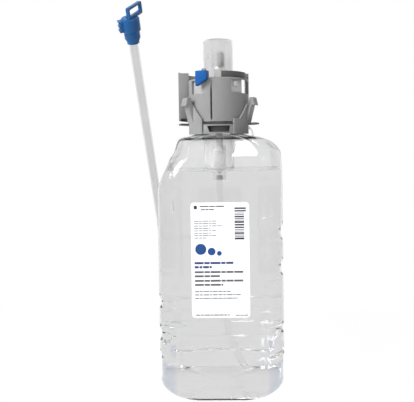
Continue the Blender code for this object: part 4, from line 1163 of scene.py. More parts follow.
        depth = np.maximum(depth, beside * dent * (1.0 - smoothstep(self.dent_flat, self.dent_reach, away)))
        front = points[..., [0, 2]]
        for mark in self.marks:
            away = distance_to_run(front / MM, mark.start, mark.end)
            pressed = mark.depth * MM * (1.0 - smoothstep(0.0, mark.width, away))
            depth += np.where(points[..., 1] < 0.0, pressed, 0.0)
        return depth

    def heights(self, low: float, high: float, step: float) -> np.ndarray:
        """Evenly spaced heights from low to high."""
        count = max(2, round((high - low) / step) + 1)
        return np.linspace(low, high, count)

    def neck_ring(self, radius: float, z: float) -> np.ndarray:
        """A round ring of the neck, at the same angles as the body's rings.

        Args:
            radius: The ring's radius.
            z: Its height.

        Returns:
            The ring's points.
        """
        turn = self.turns()
        level = np.full_like(turn, z)
        return np.stack([radius * np.cos(turn), radius * np.sin(turn), level], axis=-1)

    def build_bottle(self) -> bpy.types.Object:
        """The bottle: outer wall, neck with its bead, and inner wall, as one closed shell.

        Returns:
            The bottle.
        """
        base = self.surface(np.array([0.0]), 0.0)[0]
        rings = []
        for share, z in self.base_rings:
            ring = base * share
            ring[:, 2] = z * self.base_recess
            rings.append(ring)
        foot = self.base_rise * (1.0 - np.cos(np.linspace(0.0, math.pi / 2, 16)))
        body = self.heights(self.base_rise, self.shoulder_z, self.row_step)[1:]
        top = self.heights(self.shoulder_z, self.neck_base_z - 0.2 * MM, 0.8 * MM)[1:]
        rings += list(self.surface(np.concatenate([foot, body, top]), 0.0))
        bead = self.neck_radius + self.bead
        for radius, z in (
            (self.neck_radius + 0.3 * MM, self.neck_base_z + 0.3 * MM),
            (self.neck_radius, self.neck_base_z + 1.0 * MM),
            (self.neck_radius, self.bead_z),
            (bead - 0.2 * MM, self.bead_z + 0.3 * self.bead),
            (bead, self.bead_z + 0.7 * self.bead),
            (bead, self.bead_z + 1.3 * self.bead),
            (bead - 0.2 * MM, self.bead_z + 1.7 * self.bead),
            (self.neck_radius, self.bead_z + 2.0 * self.bead),
            (self.neck_radius, self.neck_top_z - 0.3 * MM),
            (self.neck_radius - 0.3 * MM, self.neck_top_z),
            (self.neck_radius - self.neck_wall, self.neck_top_z),
            (self.neck_radius - self.neck_wall, self.neck_base_z - 1.0 * MM),
        ):
            rings.append(self.neck_ring(radius, z))
        inner = self.heights(self.base_recess + self.wall, self.neck_base_z - 4.0 * MM, 2.0 * MM)
        walls = self.surface(inner, self.wall)
        rings += list(walls[::-1])
        tips = ((0.0, 0.0, 0.0), (0.0, 0.0, self.base_recess + self.wall))
        return loft("bottle_shell", rings, Ends.TIPS, tips, 40.0)

    def build_soap(
        self, pump_radius: float, pump_floor: float, inlet_radius: float, inlet_z: float
    ) -> bpy.types.Object:
        """The soap, from the floor to its level, open round the pump.

        Args:
            pump_radius: The radius that the pump's cylinder needs.
            pump_floor: The height of that cylinder's floor.
            inlet_radius: The radius that the inlet needs.
            inlet_z: The inlet's lowest height.

        Returns:
            The soap.
        """
        sink = self.wall + 0.3 * MM
        low = self.base_recess + self.wall + 0.5 * MM
        rings = list(self.surface(self.heights(low, self.soap_level - 0.6 * MM, 1.5 * MM), sink))
        edge = self.surface(np.array([self.soap_level]), sink)[0]
        rings.append(edge)
        for share, drop in ((0.985, 0.35 * MM), (0.95, 0.7 * MM), (0.7, 0.8 * MM)):
            ring = edge * share
            ring[:, 2] = self.soap_level - drop
            rings.append(ring)
        for radius, z in (
            (pump_radius + 1.2 * MM, self.soap_level - 0.6 * MM),
            (pump_radius, self.soap_level),
            (pump_radius, pump_floor),
            (inlet_radius, pump_floor),
            (inlet_radius, inlet_z),
        ):
            rings.append(self.neck_ring(radius, z))
        return loft("soap_body", rings, Ends.TIPS, ((0.0, 0.0, low), (0.0, 0.0, inlet_z)), 40.0)

    def build_lug(self) -> bpy.types.Object:
        """The small clear arch on the shoulder, beside the collar's right foot.

        Returns:
            The arch.
        """
        low, reach = self.neck_base_z - 3.0 * MM, self.neck_radius + self.lug_out
        wide, tall = self.lug_width, self.lug_height
        route = [
            Vector((reach - wide * (1.0 - math.cos(t)), self.lug_y, low + tall * math.sin(t)))
            for t in (math.radians(9.0 * i) for i in range(16))
        ]
        return pipe("neck_lug", route, self.lug_bar, 0.0, 16)

    def build(self) -> None:
        """Makes and hands over the bottle, its lug and the soap."""
        self.hand_over(self.build_lug(), "clear_pet", Slot.CLEAR)
        self.hand_over(self.build_bottle(), "clear_pet", Slot.CLEAR, "bottle")
        soap = self.build_soap(*self.pump_room)
        self.hand_over(soap, "clear_soap", Slot.SOAP, "soap_fill")


@dataclass
class FrontLabel(Assembly):
    """The white label, with plain bars, fields and dots in the place of its print."""

    palette: Palette
    width: float = 44.0 * MM
    height: float = 87.7 * MM
    centre_x: float = -0.3 * MM
    bottom_z: float = 65.9 * MM
    corner: float = 2.6 * MM
    face_y: float = -48.8 * MM
    thickness: float = 0.25 * MM
    ink: float = 0.04 * MM
    word_gap: float = 0.55 * MM
    stack_bars: tuple = (
        (1.2, 0.8), (1.1, 0.9), (0.5, 0.6), (0.5, 0.7), (1.2, 0.6), (0.6, 0.6), (0.5, 0.5), (1.4, 0.8),
    )

    short_words: tuple = (3.1 * MM, 2.2 * MM, 4.4 * MM, 1.6 * MM, 3.6 * MM)
    long_words: tuple = (6.8 * MM, 4.1 * MM, 7.6 * MM, 3.2 * MM, 5.4 * MM)
    small_line_ends: tuple = (20.0, 18.9, 24.2, 14.7, 18.9, 15.0, 18.9, 11.3)
    small_line_top: float = 14.1
    small_line_pitch: float = 1.82
    large_lines: tuple = ((52.8, 39.8), (55.9, 21.4), (59.4, 40.1), (62.5, 23.8))
    foot_lines: tuple = ((67.6, 29.4), (70.1, 37.0), (72.8, 34.5))
    stack_drops: tuple = (4.0, 28.6)

    def from_left(self, x: float) -> float:
        """A distance from the label's left edge as a place along X."""
        return self.centre_x - self.width / 2 + x

    def from_top(self, drop: float) -> float:
        """A distance below the label's top edge as a height."""
        return self.bottom_z + self.height - drop

    def words(self, left: float, right: float, drop: float, tall: float, lengths: Sequence[float]) -> list:
        """A line of short bars of changing length.

        Args:
            left: Where the line starts, from the label's left edge.
            right: Where it ends.
            drop: Its middle, below the label's top edge.
            tall: How tall the bars are.
            lengths: The bars' lengths, used over and over.

        Returns:
            The bars as boxes of left, right, low and high.
        """
        bars = []
        at, i = left, 0
        while at < right - 0.5 * MM:
            end = min(right, at + lengths[i % len(lengths)])
            bars.append((self.from_left(at), self.from_left(end), self.from_top(drop) - tall / 2, tall))
            at, i = end + self.word_gap, i + 1
        return bars

    def printed(self, name: str, bars: Sequence[tuple], finish: str) -> None:
        """Prints bars in one ink.

        Args:
            name: The piece's name.
            bars: Boxes of left, right, low and height.
            finish: The ink.
        """
        coords: list = []
        faces: list = []
        back = self.face_y - self.thickness
        for left, right, low, tall in bars:
            first = len(coords)
            for y in (back, back - self.ink):
                coords += [(left, y, low), (right, y, low), (right, y, low + tall), (left, y, low + tall)]
            faces += [tuple(first + i for i in corners) for corners in BOX_FACES]
        mesh = bpy.data.meshes.new(name)
        mesh.from_pydata(coords, [], faces)
        self.hand_over(place_mesh(name, mesh), finish, Slot.LABEL)

    def dots(self, name: str, places: Sequence[tuple], finish: str) -> None:
        """Prints round dots in one ink.

        Args:
            name: The first part of the pieces' names.
            places: Triples of distance from the left, distance from the top and radius.
            finish: The ink.
        """
        stand = Matrix.Rotation(math.radians(90.0), 4, "X")
        front = Matrix.Translation((0.0, self.face_y - self.thickness, 0.0))
        for i, (across, drop, radius) in enumerate(places):
            turns = [math.tau * k / 40 for k in range(40)]
            x, z = self.from_left(across), self.from_top(drop)
            outline = [(x + radius * math.cos(t), z + radius * math.sin(t)) for t in turns]
            dot = extruded(f"{name}_{i + 1}", outline, 0.0, self.ink, front @ stand)
            self.hand_over(dot, finish, Slot.LABEL)

    def build(self) -> None:
        """Makes the label and its print."""
        outline = rounded_rectangle(self.width / 2, self.height / 2, self.corner)
        stand = Matrix.Translation((self.centre_x, self.face_y, self.bottom_z + self.height / 2))
        stand @= Matrix.Rotation(math.radians(90.0), 4, "X")
        sheet = extruded("label_sheet", outline, 0.0, self.thickness, stand)
        self.hand_over(sheet, "label_film", Slot.LABEL, "front_label")
        short, long = self.short_words, self.long_words
        self.printed("print_square", [(self.from_left(2.4 * MM), self.from_left(4.7 * MM),
                                       self.from_top(5.0 * MM), 2.6 * MM)], "ink_black")
        grey = self.words(6.8 * MM, 25.2 * MM, 3.0 * MM, 0.95 * MM, long)
        grey += self.words(7.6 * MM, 17.6 * MM, 5.4 * MM, 0.95 * MM, short)
        for drop, end in self.large_lines:
            grey += self.words(2.4 * MM, end * MM, drop * MM, 1.5 * MM, long)
        self.printed("print_grey", grey, "ink_grey")
        navy = self.words(2.4 * MM, 32.0 * MM, 45.9 * MM, 1.7 * MM, long)
        navy += self.words(2.4 * MM, 16.4 * MM, 49.0 * MM, 1.7 * MM, short)
        self.printed("print_navy", navy, "ink_navy")
        pale: list = []
        for i, end in enumerate(self.small_line_ends):
            drop = (self.small_line_top + self.small_line_pitch * i) * MM
            pale += self.words(2.4 * MM, end * MM, drop, 0.75 * MM, short)
        for drop, end in self.foot_lines:
            pale += self.words(2.4 * MM, end * MM, drop * MM, 0.95 * MM, short)
        pale += self.words(3.0 * MM, 28.4 * MM, 85.6 * MM, 1.0 * MM, short)
        pale += self.words(33.0 * MM, 42.4 * MM, 85.9 * MM, 0.9 * MM, short)
        self.printed("print_pale", pale, "ink_pale")
        stack = []
        (drop, last), i = self.stack_drops, 0
        while drop < last:
            tall, space = self.stack_bars[i % len(self.stack_bars)]
            end = 41.6 * MM if i < 2 else 40.2 * MM
            low = self.from_top((drop + tall) * MM)
            stack.append((self.from_left(33.0 * MM), self.from_left(end), low, tall * MM))
            drop, i = drop + tall + space, i + 1
        self.printed("print_stack", stack, "ink_black")
        self.dots("print_bubble", ((7.2 * MM, 35.4 * MM, 4.2 * MM), (15.4 * MM, 37.2 * MM, 2.9 * MM),
                                   (21.2 * MM, 38.6 * MM, 1.8 * MM)), "ink_blue")


@dataclass
class FoamPump(Assembly):
    """The pump's housing, dome and dip tube, and the small pieces inside it."""

    palette: Palette
    flange_radius: float = 19.7 * MM
    cylinder_radius: float = 12.5 * MM
    wall: float = 1.2 * MM
    floor_z: float = 177.2 * MM
    flange_z: float = 213.6 * MM
    flange_top_z: float = 215.1 * MM
    inner_bore: float = 4.6 * MM
    inner_wall: float = 1.0 * MM
    inner_top_z: float = 196.9 * MM
    inlet_radius: float = 6.0 * MM
    inlet_z: float = 168.8 * MM
    dip_radius: float = 2.9 * MM
    dip_bore: float = 2.0 * MM
    dip_insert: float = 3.2 * MM
    dip_foot_x: float = 21.0 * MM
    dip_foot_z: float = 9.3 * MM
    dip_bend_z: float = 84.0 * MM
    ball_seat: float = 1.4 * MM
    ball_room: float = 2.25 * MM
    ball_z: float = 175.2 * MM
    dome_radius: float = 12.05 * MM
    dome_wall: float = 1.3 * MM
    dome_top_z: float = 283.2 * MM
    dome_skirt_z: float = 238.0 * MM
    dome_edge: float = 1.6 * MM
    hub_radius: float = 5.9 * MM
    hub_bore: float = 4.9 * MM
    stem_top_z: float = 262.0 * MM
    stem_radius: float = 3.3 * MM
    hub_top_z: float = 273.4 * MM
    spring_z: tuple = (179.08 * MM, 190.56 * MM)
    spring_radius: float = 3.5 * MM
    spring_wire: float = 0.35 * MM
    spring_turns: float = 4.5
    spring_dead_turns: float = 0.75
    spring_dead_pitch: float = 0.77 * MM
    spring_pressed: float = 0.345

    def build_housing(self) -> bpy.types.Object:
        """The housing: flange, air cylinder, liquid cylinder and inlet in one turned piece.

        Returns:
            The housing.
        """
        socket = self.dip_radius + 0.3 * MM
        seat = self.floor_z + self.wall
        bore = self.cylinder_radius - self.wall
        liquid = self.inner_bore + self.inner_wall
        socket_top = self.inlet_z + self.dip_insert + 0.3 * MM
        profile = [
            (socket, self.inlet_z),
            (self.inlet_radius - 0.8 * MM, self.inlet_z),
            (self.inlet_radius, self.inlet_z + 1.2 * MM),
            (self.inlet_radius, self.floor_z),
            (self.cylinder_radius - 0.9 * MM, self.floor_z),
            (self.cylinder_radius, self.floor_z + 1.2 * MM),
            (self.cylinder_radius, self.flange_z),
            (self.flange_radius, self.flange_z),
            (self.flange_radius, self.flange_top_z),
            (bore, self.flange_top_z),
            (bore, seat),
            (liquid, seat),
            (liquid, self.inner_top_z),
            (self.inner_bore, self.inner_top_z),
            (self.inner_bore, seat),
            (self.ball_room, seat),
            (self.ball_room, self.ball_z),
            (self.ball_seat, self.ball_z - 1.9 * MM),
            (self.ball_seat, socket_top),
            (socket, socket_top),
        ]
        return lathe("housing_body", profile, 0.25 * MM, 80)

    def build_dome(self) -> bpy.types.Object:
        """The dome that is pressed, with the hub that holds the foam cartridge.

        Returns:
            The dome.
        """
        roof = self.dome_top_z - self.dome_wall
        inner = self.dome_radius - self.dome_wall
        edge = self.dome_edge
        crown = [
            (self.dome_radius - edge * (1.0 - math.sin(t)), self.dome_top_z - edge * (1.0 - math.cos(t)))
            for t in (math.radians(9.0 * i) for i in range(11))
        ]
        profile = [
            (0.0, self.dome_top_z - 0.3 * MM),
            (self.dome_radius - edge - 1.2 * MM, self.dome_top_z - 0.3 * MM),
            (self.dome_radius - edge - 0.6 * MM, self.dome_top_z),
            *crown,
            (self.dome_radius, self.dome_skirt_z),
            (inner, self.dome_skirt_z),
            (inner, roof - 1.0 * MM),
            (inner - 1.0 * MM, roof),
            (self.hub_radius, roof),
            (self.hub_radius, self.stem_top_z - 6.0 * MM),
            (self.stem_radius, self.stem_top_z - 6.0 * MM),
            (self.stem_radius, self.stem_top_z + 0.15 * MM),
            (self.hub_bore, self.stem_top_z + 0.15 * MM),
            (self.hub_bore, self.hub_top_z),
            (0.0, self.hub_top_z),
        ]
        return lathe("dome_shell", profile, 0.0, 96)

    def dip_route(self) -> list[Vector]:
        """The dip tube's centreline, straight down and then curling to the right.

        Returns:
            The centreline's points.
        """
        top = self.inlet_z + self.dip_insert
        points = [Vector((0.0, 0.0, top + (self.dip_bend_z - top) * i / 6)) for i in range(7)]
        steps = 24
        for i in range(1, steps + 1):
            share = i / steps
            height = self.dip_bend_z + (self.dip_foot_z - self.dip_bend_z) * share
            points.append(Vector((self.dip_foot_x * share * share, 0.0, height)))
        return points

    def build_spring(self) -> bpy.types.Object:
        """The return spring, with a dead coil at each end.

        Returns:
            The spring.
        """
        low, high = self.spring_z
        free = high - low - 2.0 * self.spring_dead_pitch
        end = self.spring_dead_turns / self.spring_turns
        steps = round(self.spring_turns * 24)
        route = []
        for i in range(steps + 1):
            share = i / steps
            dead = min(1.0, share / end) + max(0.0, (share - 1.0 + end) / end)
            middle = min(1.0, max(0.0, (share - end) / (1.0 - 2.0 * end)))
            turn = math.tau * self.spring_turns * share
            height = low + self.spring_dead_pitch * dead + free * middle
            across, along = self.spring_radius * math.cos(turn), self.spring_radius * math.sin(turn)
            route.append(Vector((across, along, height)))
        return pipe("spring_coil", route, self.spring_wire, 0.0, 10)

    def build(self) -> None:
        """Makes the outer pieces and dresses the inner ones."""
        spring = self.hand_over(self.build_spring(), "stainless_steel", Slot.STEEL, "return_spring")
        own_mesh(spring)
        self.hand_over(self.build_housing(), "milky_housing", Slot.NATURAL, "pump_housing")
        self.hand_over(self.build_dome(), "milky_dome", Slot.NATURAL, "pump_dome", PLUNGER_BODY)
        dip = pipe("dip_pipe", self.dip_route(), self.dip_radius, self.dip_bore, 28)
        self.hand_over(dip, "sunk_tube", Slot.NATURAL, "dip_tube")
        for node, finish in (
            ("neck_gasket", "gasket_foam"),
            ("inlet_ball", "stainless_steel"),
            ("piston_stem", "white_plastic"),
            ("liquid_piston", "white_plastic"),
            ("air_piston", "white_plastic"),
            ("foam_cartridge", "light_grey_frame"),
            ("lower_mesh", "light_grey_frame"),
            ("upper_mesh", "light_grey_frame"),
            ("outlet_ball", "light_grey_frame"),
        ):
            self.palette.dress(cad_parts[node], finish)


@dataclass
class LockingCollar(Assembly):
    """The grey collar: latch ring, flange plate, windowed wall, chassis, shroud and blue key."""

    palette: Palette
    radius: float = 25.0 * MM
    wall: float = 1.6 * MM
    bottom_z: float = 215.4 * MM
    top_z: float = 250.2 * MM
    gap: float = 0.3 * MM
    slot_x: float = -5.85 * MM
    slot_width: float = 1.5 * MM
    window_z: tuple = (238.0 * MM, 248.6 * MM)
    left_window: tuple = (-60.0, -25.0)
    right_window: tuple = (24.0, 84.0)
    skirt_radius: float = 21.4 * MM
    skirt_wall: float = 1.7 * MM
    skirt_z: tuple = (206.2 * MM, 213.4 * MM)
    ring_window: tuple = (
        (-7.6 * MM, 207.2 * MM), (7.9 * MM, 207.2 * MM), (8.8 * MM, 212.2 * MM), (-9.4 * MM, 212.2 * MM),
    )
    foot_top_z: float = 218.0 * MM
    foot_wall: float = 1.8 * MM
    left_foot: tuple = (-64.0, -30.0)
    right_foot: tuple = (26.0, 62.0)
    arm_degs: tuple = (-58.0, 66.0)
    arm_width: float = 8.0 * MM
    arm_top_z: float = 235.0 * MM
    arm_flare: float = 3.6 * MM
    arm_hook: float = 2.8 * MM
    gusset_reach: float = 27.0
    gusset_top_z: float = 230.0 * MM
    plate_radius: float = 33.4 * MM
    plate_z: tuple = (213.7 * MM, 214.7 * MM)
    plate_hole: float = 20.0 * MM
    chassis_radius: float = 23.1 * MM
    chassis_wall: float = 1.5 * MM
    guide_bore: float = 12.4 * MM
    guide_wall: float = 1.5 * MM
    guide_top_z: float = 247.0 * MM
    crown_z: tuple = (251.0 * MM, 255.8 * MM)
    crown_span: tuple = (-1.0, 111.0)
    post_half: float = 7.0
    boss_span: tuple = (30.0, 39.0)
    boss_z: tuple = (243.6 * MM, 247.7 * MM)
    through_x: tuple = (18.4 * MM, 21.0 * MM)
    through_margin: float = 0.6 * MM
    shroud_x: float = -2.9 * MM
    shroud_radius: float = 30.3 * MM
    shroud_wall: float = 1.6 * MM
    shroud_z: tuple = (217.2 * MM, 257.0 * MM)
    shroud_span: tuple = (110.0, 278.0)
    end_reach: float = 7.0 * MM
    end_deg: float = 3.0
    spigot_z: float = 228.0 * MM
    spigot_end_y: float = 36.16 * MM
    spigot_radius: float = 1.9 * MM
    spigot_bore: float = 1.2 * MM
    key_deg: float = -28.5
    key_width: float = 8.4 * MM
    key_depth: float = 4.4 * MM
    key_top_z: float = 255.7 * MM
    key_drop: float = 6.6 * MM
    key_slant: float = 4.8 * MM
    tab_width: float = 3.3 * MM
    tab_rise: float = 2.1 * MM

    def spigot_hole(self, name: str, start_y: float) -> bpy.types.Object:
        """A cutter for the hole that lets the outlet spigot through a wall."""
        ends = [Vector((0.0, y, self.spigot_z)) for y in (start_y, self.spigot_end_y)]
        return pipe(name, ends, self.spigot_radius + self.gap, 0.0, 24)

    def through_gap(self) -> bpy.types.Object:
        """A cutter for the gap that runs from the right window to the back and widens on its way.

        Returns:
            The cutter.
        """
        (left, right), (low, high) = self.through_x, self.window_z
        front, back = -self.chassis_radius * 1.05, self.shroud_radius * 1.1
        low, high = low + self.through_margin, high - self.through_margin
        rings = []
        for y, grow, rise in ((front, 0.0, 0.0), (back, 1.9 * MM, 6.4 * MM)):
            rings.append(np.array([
                (left + 0.6 * grow, y, low), (right + grow, y, low),
                (right + grow, y, high + rise), (left + 0.6 * grow, y, high + rise),
            ]))
        return loft("through", rings, Ends.FLAT)

    def build_ring(self) -> bpy.types.Object:
        """The ring that grips the neck's bead, with its feet and its two sprung arms.

        Returns:
            The ring.
        """
        low, top = self.skirt_z
        inner, outer = self.skirt_radius, self.skirt_radius + self.skirt_wall
        ring = lathe("latch_body", [(inner, low), (outer, low), (outer, top), (inner, top)], 0.0, 112)
        window = extruded(
            "window",
            list(self.ring_window), 0.5 * inner, 2 * inner, Matrix.Rotation(math.radians(90.0), 4, "X"),
        )
        face, back = self.radius + self.gap, self.radius + self.gap + self.foot_wall
        apron = sector(
            "front_frame", (outer - 0.4 * MM, face + 0.5 * MM), (low + 0.2 * MM, top - 0.1 * MM),
            (self.left_foot[1] - 1.5, self.right_foot[0] + 1.5), 24,
        )
        steps = [(Cut.FUSE, apron), (Cut.CARVE, window)]
        for side, degrees, span in zip(("left", "right"), self.arm_degs, (self.left_foot, self.right_foot)):
            web = sector(
                f"{side}_web", (outer - 0.8 * MM, face + 0.6 * MM), (low + 0.5 * MM, low + 3.1 * MM),
                (span[0] + 1.5, span[1] - 1.5), 12,
            )
            foot = curved_bar(
                f"{side}_foot",
                lambda share: [(face, low - 0.6 * MM), (back, low - 0.6 * MM),
                               (back, self.foot_top_z), (face, self.foot_top_z)],
                span, 16,
            )
            link = sector(
                f"{side}_link", (face + 0.25 * MM, back - 0.25 * MM),
                (self.plate_z[1] + 0.6 * MM, self.foot_top_z - 0.5 * MM),
                tuple(sorted((math.copysign(50.0, degrees), degrees))), 10,
            )
            inside = degrees - math.copysign(self.gusset_reach, degrees)
            edge = degrees - math.copysign(6.0, degrees)
            heights = {edge: self.gusset_top_z, inside: self.foot_top_z}
            ends = sorted(heights)
            gusset = curved_bar(
                f"{side}_gusset",
                lambda share, ends=ends, heights=heights: [
                    (r, z) for r, z in (
                        (face, self.foot_top_z - 1.0 * MM), (back, self.foot_top_z - 1.0 * MM),
                        (back, heights[ends[0]] * (1.0 - share) + heights[ends[1]] * share),
                        (face, heights[ends[0]] * (1.0 - share) + heights[ends[1]] * share),
                    )
                ],
                tuple(ends), 12,
            )
            steps += [(Cut.FUSE, web), (Cut.FUSE, foot), (Cut.FUSE, self.arm(side, degrees, face, back)),
                      (Cut.FUSE, link), (Cut.FUSE, gusset)]
        combine(ring, steps)
        soften(ring, 0.25 * MM)
        return ring

    def arm(self, side: str, degrees: float, face: float, back: float) -> bpy.types.Object:
        """One sprung latch arm, flaring outwards to its hook.

        Args:
            side: The first word of its name.
            degrees: Its angle from the front towards +X.
            face: The radius of the foot's inner face.
            back: The radius of its outer face.

        Returns:
            The arm.
        """
        low, tip = self.plate_z[1] + self.gap, back + self.arm_flare
        outline = [
            (face + 0.4 * MM, low),
            (back - 0.1 * MM, low),
            (tip, self.arm_top_z - 6.0 * MM),
            (tip + self.arm_hook, self.arm_top_z - 6.5 * MM),
            (tip + self.arm_hook * 0.4, self.arm_top_z),
            (tip - self.foot_wall, self.arm_top_z),
            (face + 0.4 * MM, self.foot_top_z + 3.0 * MM),
        ]
        turn = math.radians(degrees - 90.0)
        stand = Matrix.Rotation(turn, 4, "Z") @ Matrix.Rotation(math.radians(90.0), 4, "X")
        half = self.arm_width / 2
        return extruded(f"{side}_arm", outline, -half, half, stand)

    def build_plate(self) -> bpy.types.Object:
        """The thin plate above the ring, notched for the feet and arms.

        Returns:
            The plate.
        """
        low, high = self.plate_z
        outer, hole = self.plate_radius, self.plate_hole
        plate = lathe("flange_disc", [(hole, low), (outer, low), (outer, high), (hole, high)], 0.2 * MM, 128)
        steps = []
        for side, span in zip(("left", "right"), (self.left_foot, self.right_foot)):
            cutter = sector(
                f"{side}_notch", (self.radius - self.gap, outer * 1.3), (low - 1.0 * MM, high + 1.0 * MM),
                (span[0] - 1.0, span[1] + 1.0), 20,
            )
            steps.append((Cut.CARVE, cutter))
        front = sector(
            "front_notch", (self.radius + 0.9 * MM, outer * 1.3), (low - 1.0 * MM, high + 1.0 * MM),
            (self.left_foot[1] - 0.5, self.right_foot[0] + 0.5), 20,
        )
        steps.append((Cut.CARVE, front))
        combine(plate, steps)
        return plate

    def build_wall(self) -> bpy.types.Object:
        """The collar's round wall, with two windows, the slit and the key's tab.

        Returns:
            The wall.
        """
        inner, outer = self.radius - self.wall, self.radius
        profile = [(inner, self.bottom_z), (outer, self.bottom_z), (outer, self.top_z), (inner, self.top_z)]
        wall = lathe("collar_wall", profile, 0.5 * MM, 128)
        steps = []
        for side, span in (("left", self.left_window), ("right", self.right_window)):
            window = sector(f"{side}_window", (inner * 0.9, outer * 1.2), self.window_z, span, 24)
            steps.append((Cut.CARVE, window))
        half = self.slot_width / 2
        slit = block(
            "slit", (self.slot_x - half, -1.2 * outer, self.bottom_z + 1.2 * MM),
            (self.slot_x + half, -0.6 * outer, self.window_z[1] - 1.0 * MM),
        )
        reach = math.degrees(self.tab_width / 2 / outer)
        tab = sector(
            "tab", (inner + 0.2 * MM, outer - 0.2 * MM),
            (self.top_z - 2.0 * MM, self.key_top_z + self.tab_rise),
            (self.key_deg - reach, self.key_deg + reach), 4,
        )
        steps += [
            (Cut.CARVE, slit), (Cut.FUSE, tab), (Cut.CARVE, self.spigot_hole("spigot_way", inner * 0.8)),
            (Cut.CARVE, self.through_gap()),
        ]
        combine(wall, steps)
        soften(wall, 0.2 * MM)
        return wall

    def build_chassis(self) -> bpy.types.Object:
        """The frame inside: sleeve, floor, guide tube, posts and the outlet spigot.

        Returns:
            The frame.
        """
        low = self.bottom_z + self.gap
        floor = low + 2.0 * MM
        sleeve, guide = self.chassis_radius - self.chassis_wall, self.guide_bore + self.guide_wall
        chassis = lathe(
            "chassis_body",
            [
                (self.guide_bore, low), (self.chassis_radius, low), (self.chassis_radius, self.top_z),
                (sleeve, self.top_z), (sleeve, floor), (guide, floor), (guide, self.guide_top_z),
                (self.guide_bore, self.guide_top_z),
            ],
            0.0, 112,
        )
        steps = []
        for name, middle in zip(("front", "rear"), self.crown_span):
            post = sector(
                f"{name}_post", (sleeve + 0.1 * MM, self.chassis_radius - 0.1 * MM),
                (self.top_z - 2.0 * MM, self.crown_z[1] + 0.8 * MM),
                (middle - self.post_half, middle + self.post_half), 8,
            )
            steps.append((Cut.FUSE, post))
        boss = sector("boss", (self.chassis_radius - 0.4 * MM, self.chassis_radius + 1.2 * MM), self.boss_z,
                      self.boss_span, 6)
        groove = block(
            "groove", (self.slot_x - self.slot_width / 2, -1.2 * self.radius, self.bottom_z + 3.0 * MM),
            (self.slot_x + self.slot_width / 2, -0.6 * self.radius, self.window_z[1] - 1.5 * MM),
        )
        ends = [Vector((0.0, y, self.spigot_z)) for y in (self.guide_bore + 0.45 * MM, self.spigot_end_y)]
        bore = [ends[0] - Vector((0.0, 4.0 * MM, 0.0)), ends[1] + Vector((0.0, 2.0 * MM, 0.0))]
        steps += [
            (Cut.FUSE, boss),
            (Cut.CARVE, groove),
            (Cut.CARVE, self.through_gap()),
            (Cut.FUSE, pipe("spigot", ends, self.spigot_radius, 0.0, 24)),
            (Cut.CARVE, pipe("spigot_bore", bore, self.spigot_bore, 0.0, 20)),
        ]
        combine(chassis, steps)
        soften(chassis, 0.2 * MM)
        return chassis

    def build_panel(self) -> bpy.types.Object:
        """The pale panel that stands in the right window, left of the gap: the frame's grey made lighter,
        painted light where the window lies in shade.

        Returns:
            The panel.
        """
        low, high = self.window_z
        panel = sector("window_panel", (self.chassis_radius - 0.2 * MM, self.chassis_radius + 0.25 * MM),
                       (low - 0.8 * MM, high + 0.8 * MM), (22.5, 51.5), 16)
        boss = sector("panel_boss", (self.chassis_radius, self.chassis_radius + 1.3 * MM), self.boss_z,
                      self.boss_span, 6)
        combine(panel, [(Cut.FUSE, boss)])
        soften(panel, 0.15 * MM)
        return panel

    def build_shade_liner(self) -> bpy.types.Object:
        """A thin dark sheet inside the latch ring's front opening: painted shade where the opening shows
        only shadow.

        Returns:
            The painted shade, as a thin curved plate.
        """
        low, top = self.skirt_z
        inner = self.skirt_radius
        return sector("painted_shade_liner", (inner - 0.45 * MM, inner - 0.1 * MM), (low + 0.3 * MM, top - 0.3 * MM),
                      (-28.0, 28.0), 24)

    def build_crown(self) -> bpy.types.Object:
        """The curved bar between the chassis' two posts, dressed in painted shade: a dark grey where the
        chassis' own grey lies in shadow.

        Returns:
            The bar.
        """
        sleeve = self.chassis_radius - self.chassis_wall
        first, last = self.crown_span
        reach = self.post_half - 1.0
        crown = sector("crown_bar", (sleeve - 0.4 * MM, self.chassis_radius - 0.3 * MM), self.crown_z,
                       (first + reach, last - reach), 40)
        soften(crown, 0.2 * MM)
        return crown

    def build_shroud(self) -> bpy.types.Object:
        """The shell round the collar's back, with a floor that fits round the collar.

        Returns:
            The shroud.
        """
        centre = (self.shroud_x, 0.0)
        span = self.shroud_span
        outer, inner = self.shroud_radius, self.shroud_radius - self.shroud_wall
        shroud = sector("shroud_shell", (inner, outer), self.shroud_z, span, 90, centre, 0.4 * MM)
        low = self.foot_top_z + self.gap
        floor = sector("floor", (inner * 0.55, inner + 0.6 * MM), (low, low + 1.6 * MM),
                       (span[0] + 14.0, span[1] - 14.0), 60, centre)
        room, under = self.radius + self.gap, low - 2.0 * MM
        hole = lathe(
            "hole", [(0.0, under), (room, under), (room, low + 4.0 * MM), (0.0, low + 4.0 * MM)], 0.0, 128
        )
        combine(floor, [(Cut.CARVE, hole)])
        walls = []
        for name, at, sign in (("left_end", span[1], -1.0), ("right_end", span[0], 1.0)):
            wall = sector(
                name, (inner - self.end_reach, inner + 0.5 * MM),
                (low + 0.8 * MM, self.shroud_z[1] - 0.5 * MM),
                tuple(sorted((at, at + sign * self.end_deg))), 3, centre,
            )
            walls.append((Cut.FUSE, wall))
        over = self.top_z + self.gap
        keep_out = lathe("keep_out", [(0.0, under), (room, under), (room, over), (0.0, over)], 0.0, 128)
        combine(shroud, walls)
        combine(shroud, [
            (Cut.CARVE, keep_out), (Cut.FUSE, floor),
            (Cut.CARVE, self.spigot_hole("spigot_way", inner * 0.8)), (Cut.CARVE, self.through_gap()),
        ])
        soften(shroud, 0.2 * MM)
        return shroud

    def build_key(self) -> bpy.types.Object:
        """The blue key over the collar's top edge, with its slanted lower end.

        Returns:
            The key.
        """
        half = math.degrees(self.key_width / 2 / self.radius)
        rest = self.top_z + self.gap
        inner, face = self.radius - self.wall - self.gap, self.radius + self.gap
        outer = face + self.key_depth

